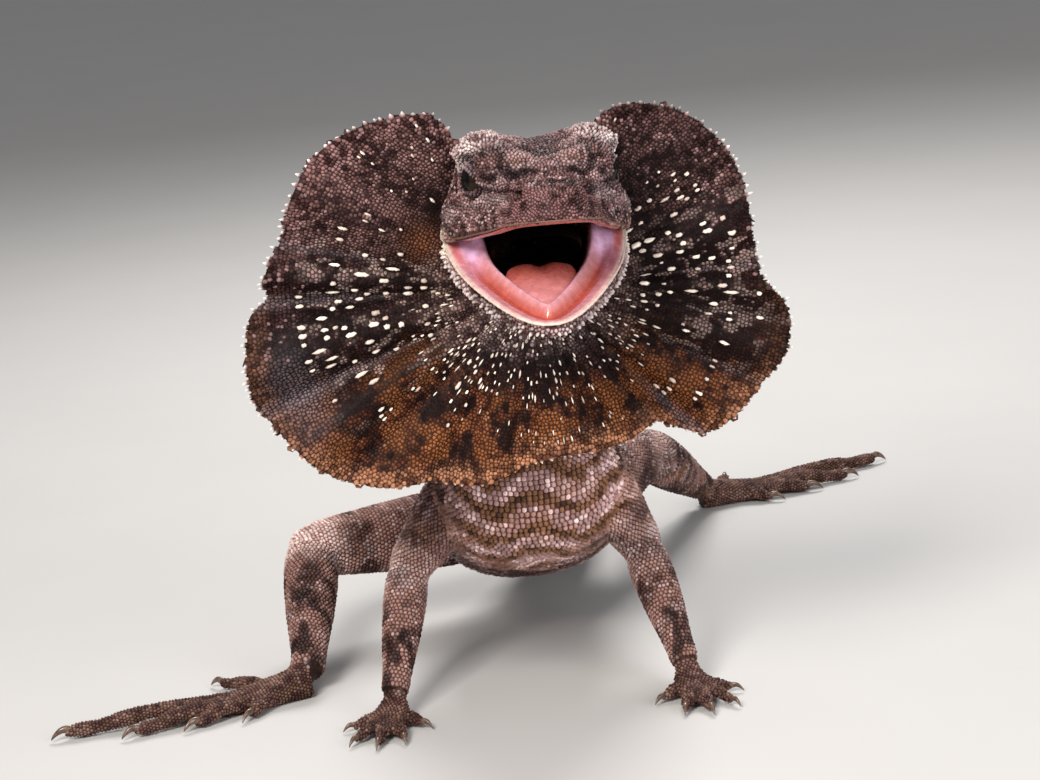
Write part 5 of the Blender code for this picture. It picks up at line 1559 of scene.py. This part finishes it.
def frillSpines():
    shape = frillShape["spines"]
    draw = np.random.default_rng(17)
    marks = np.linspace(*frillShape["span"], 4000)
    rimPoints = frillPoint(marks, along(marks, frillShape["rim"]))
    runs = runLengths(rimPoints)
    count = int(runs[-1] / shape["pitch"])
    places = np.arange(count) + 0.5 + draw.uniform(-0.3, 0.3, count)
    angle = np.interp(places * runs[-1] / count, runs, marks)
    rim = along(angle, frillShape["rim"])
    edge, normal = frillPoint(angle, rim), frillNormal(angle, rim - 1)
    before, after = (frillPoint(angle + step, along(angle + step, frillShape["rim"])) for step in (-0.4, 0.4))
    run = after - before
    across = unit(run - normal * (run * normal).sum(axis=1, keepdims=True))
    axis = np.cross(across, normal)
    flip = (axis * (edge - np.array(frillShape["centre"]))).sum(axis=1) < 0
    axis[flip] *= -1
    small = 0.5 + 0.5 * ease(45, 75, np.abs(angle))
    length = shape["length"] * draw.uniform(0.4, 1.1, count) * small * (1 - 0.25 * ease(118, 134, np.abs(angle)))
    wide = shape["width"] * draw.uniform(0.8, 1.1, count) * (0.7 + 0.3 * small)
    profile, columns = shape["profile"], 8
    turn = np.linspace(0, 2 * math.pi, columns, endpoint=False)
    rings = []
    for share, size in profile:
        centre = edge + axis * (length * share)[:, None] + across * (0.12 * length * share ** 2)[:, None]
        ring = (centre[:, None] + across[:, None] * (np.cos(turn)[None] * (wide * size / 2)[:, None])[..., None]
                + normal[:, None] * (np.sin(turn)[None] * (wide * size * 0.4)[:, None])[..., None])
        rings.append(ring)
    points = np.stack(rings, axis=1)
    faces = sheetFaces(len(profile), columns, True)
    each = len(profile) * columns
    allFaces = (np.arange(count) * each)[:, None, None] + faces[None]
    piece = newPiece("frill_spines", points.reshape(-1, 3), allFaces.reshape(-1, 4), scalePaint("spines", 0.45))
    share = np.repeat(np.array([pair[0] for pair in profile]), columns)
    base = frillTones(angle, rim, edge)
    pale = 0.85 - 0.6 * ease(118, 134, np.abs(angle)) * (angle > 0)
    pale = pale - 0.4 * ease(128, 142, np.abs(angle)) * (angle < 0)
    tip = mixed(base[:, None], np.array(tones["white"])[None, None], pale[:, None] * ease(0.3, 0.8, share)[None])
    giveColour(piece, tip.reshape(-1, 3))
    # crest share: the spine's base takes the paint's painted shade, its tip does not
    giveValue(piece, "crest", np.tile(ease(-0.3, 0.5, share), count))
    u = np.repeat(np.linspace(0.01, 0.98, count), each) + np.tile(np.cos(turn), len(profile) * count) * 0.0012
    v = np.repeat(np.linspace(0.0, 1.0, count) * 7 % 1 * 0.9 + 0.05, each) + np.tile(share, count) * 0.0015
    giveUnwrap(piece, np.stack([u, v], axis=-1))
    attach(piece, "root")


frillMembrane()
frillScales("scales_frill_front", False)
frillScales("scales_frill_back", True)
frillMarks()
frillSpines()
print("frill made")


# the skin takes its markings and painted shade and replaces the flesh
def joinSkin():
    for shell, toneOf in ((headShell, headTones), (bodyShell, fleshTones)):
        giveColour(shell, toneOf(meshPoints(shell)))
    headShell.data.materials.append(skinPaint())
    bodyShell.data.materials.append(headShell.data.materials[0])
    with bpy.context.temp_override(active_object=headShell, selected_editable_objects=[headShell, bodyShell]):
        bpy.ops.object.join()
    headShell.name = "skin"
    headShell.data.shade_smooth()
    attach(headShell, "root")
    flesh = [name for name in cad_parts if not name.startswith(("eye", "frill", "tongue"))]
    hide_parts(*flesh)


joinSkin()
print("skin joined")


# floor, lights and world
studio = {"floor": (0.50, 0.48, 0.46), "reach": 6000.0, "world": (0.84, 0.86, 0.90), "worldStrength": 0.34,
          # name, place, power, size, colour
          "lights": [("key", (-260, -520, 520), 7.0, 260, (1.0, 0.97, 0.93)),
                     ("fill", (380, -420, 260), 2.2, 320, (0.93, 0.96, 1.0)),
                     ("rim", (60, 520, 520), 4.0, 300, (1.0, 1.0, 1.0))]}


def makeStudio():
    side = studio["reach"]
    corners = [(x * side, y * side, -home[2]) for x, y in ((-1, -1), (1, -1), (1, 1), (-1, 1))]
    floor = newPiece("floor", corners, np.array([[0, 1, 2, 3]]), None, False)
    paint = Paint("floor", 0.75)
    tint = paint.span(paint.grain(60.0, 2.0), 0.3, 0.7)
    pale = studio["floor"]
    floor.data.materials.append(paint.done(paint.blend(tint, tuple(c * 0.98 for c in pale), pale)))
    for name, place, power, size, colour in studio["lights"]:
        light = bpy.data.lights.new(name, 'AREA')
        light.energy, light.size, light.color = power, size * mm, colour
        lamp = bpy.data.objects.new(name, light)
        lamp.location = (np.array(place) + home) * mm
        aim = Vector((np.array((0, 0, 80.0)) + home) * mm) - lamp.location
        lamp.rotation_euler = aim.to_track_quat('-Z', 'Y').to_euler()
        bpy.context.scene.collection.objects.link(lamp)
    world = bpy.data.worlds.new("studio")
    world.use_nodes = True
    sky = world.node_tree.nodes["Background"]
    sky.inputs["Color"].default_value = (*studio["world"], 1.0)
    sky.inputs["Strength"].default_value = studio["worldStrength"]
    bpy.context.scene.world = world
    bpy.context.scene.view_settings.view_transform = 'Standard'


makeStudio()
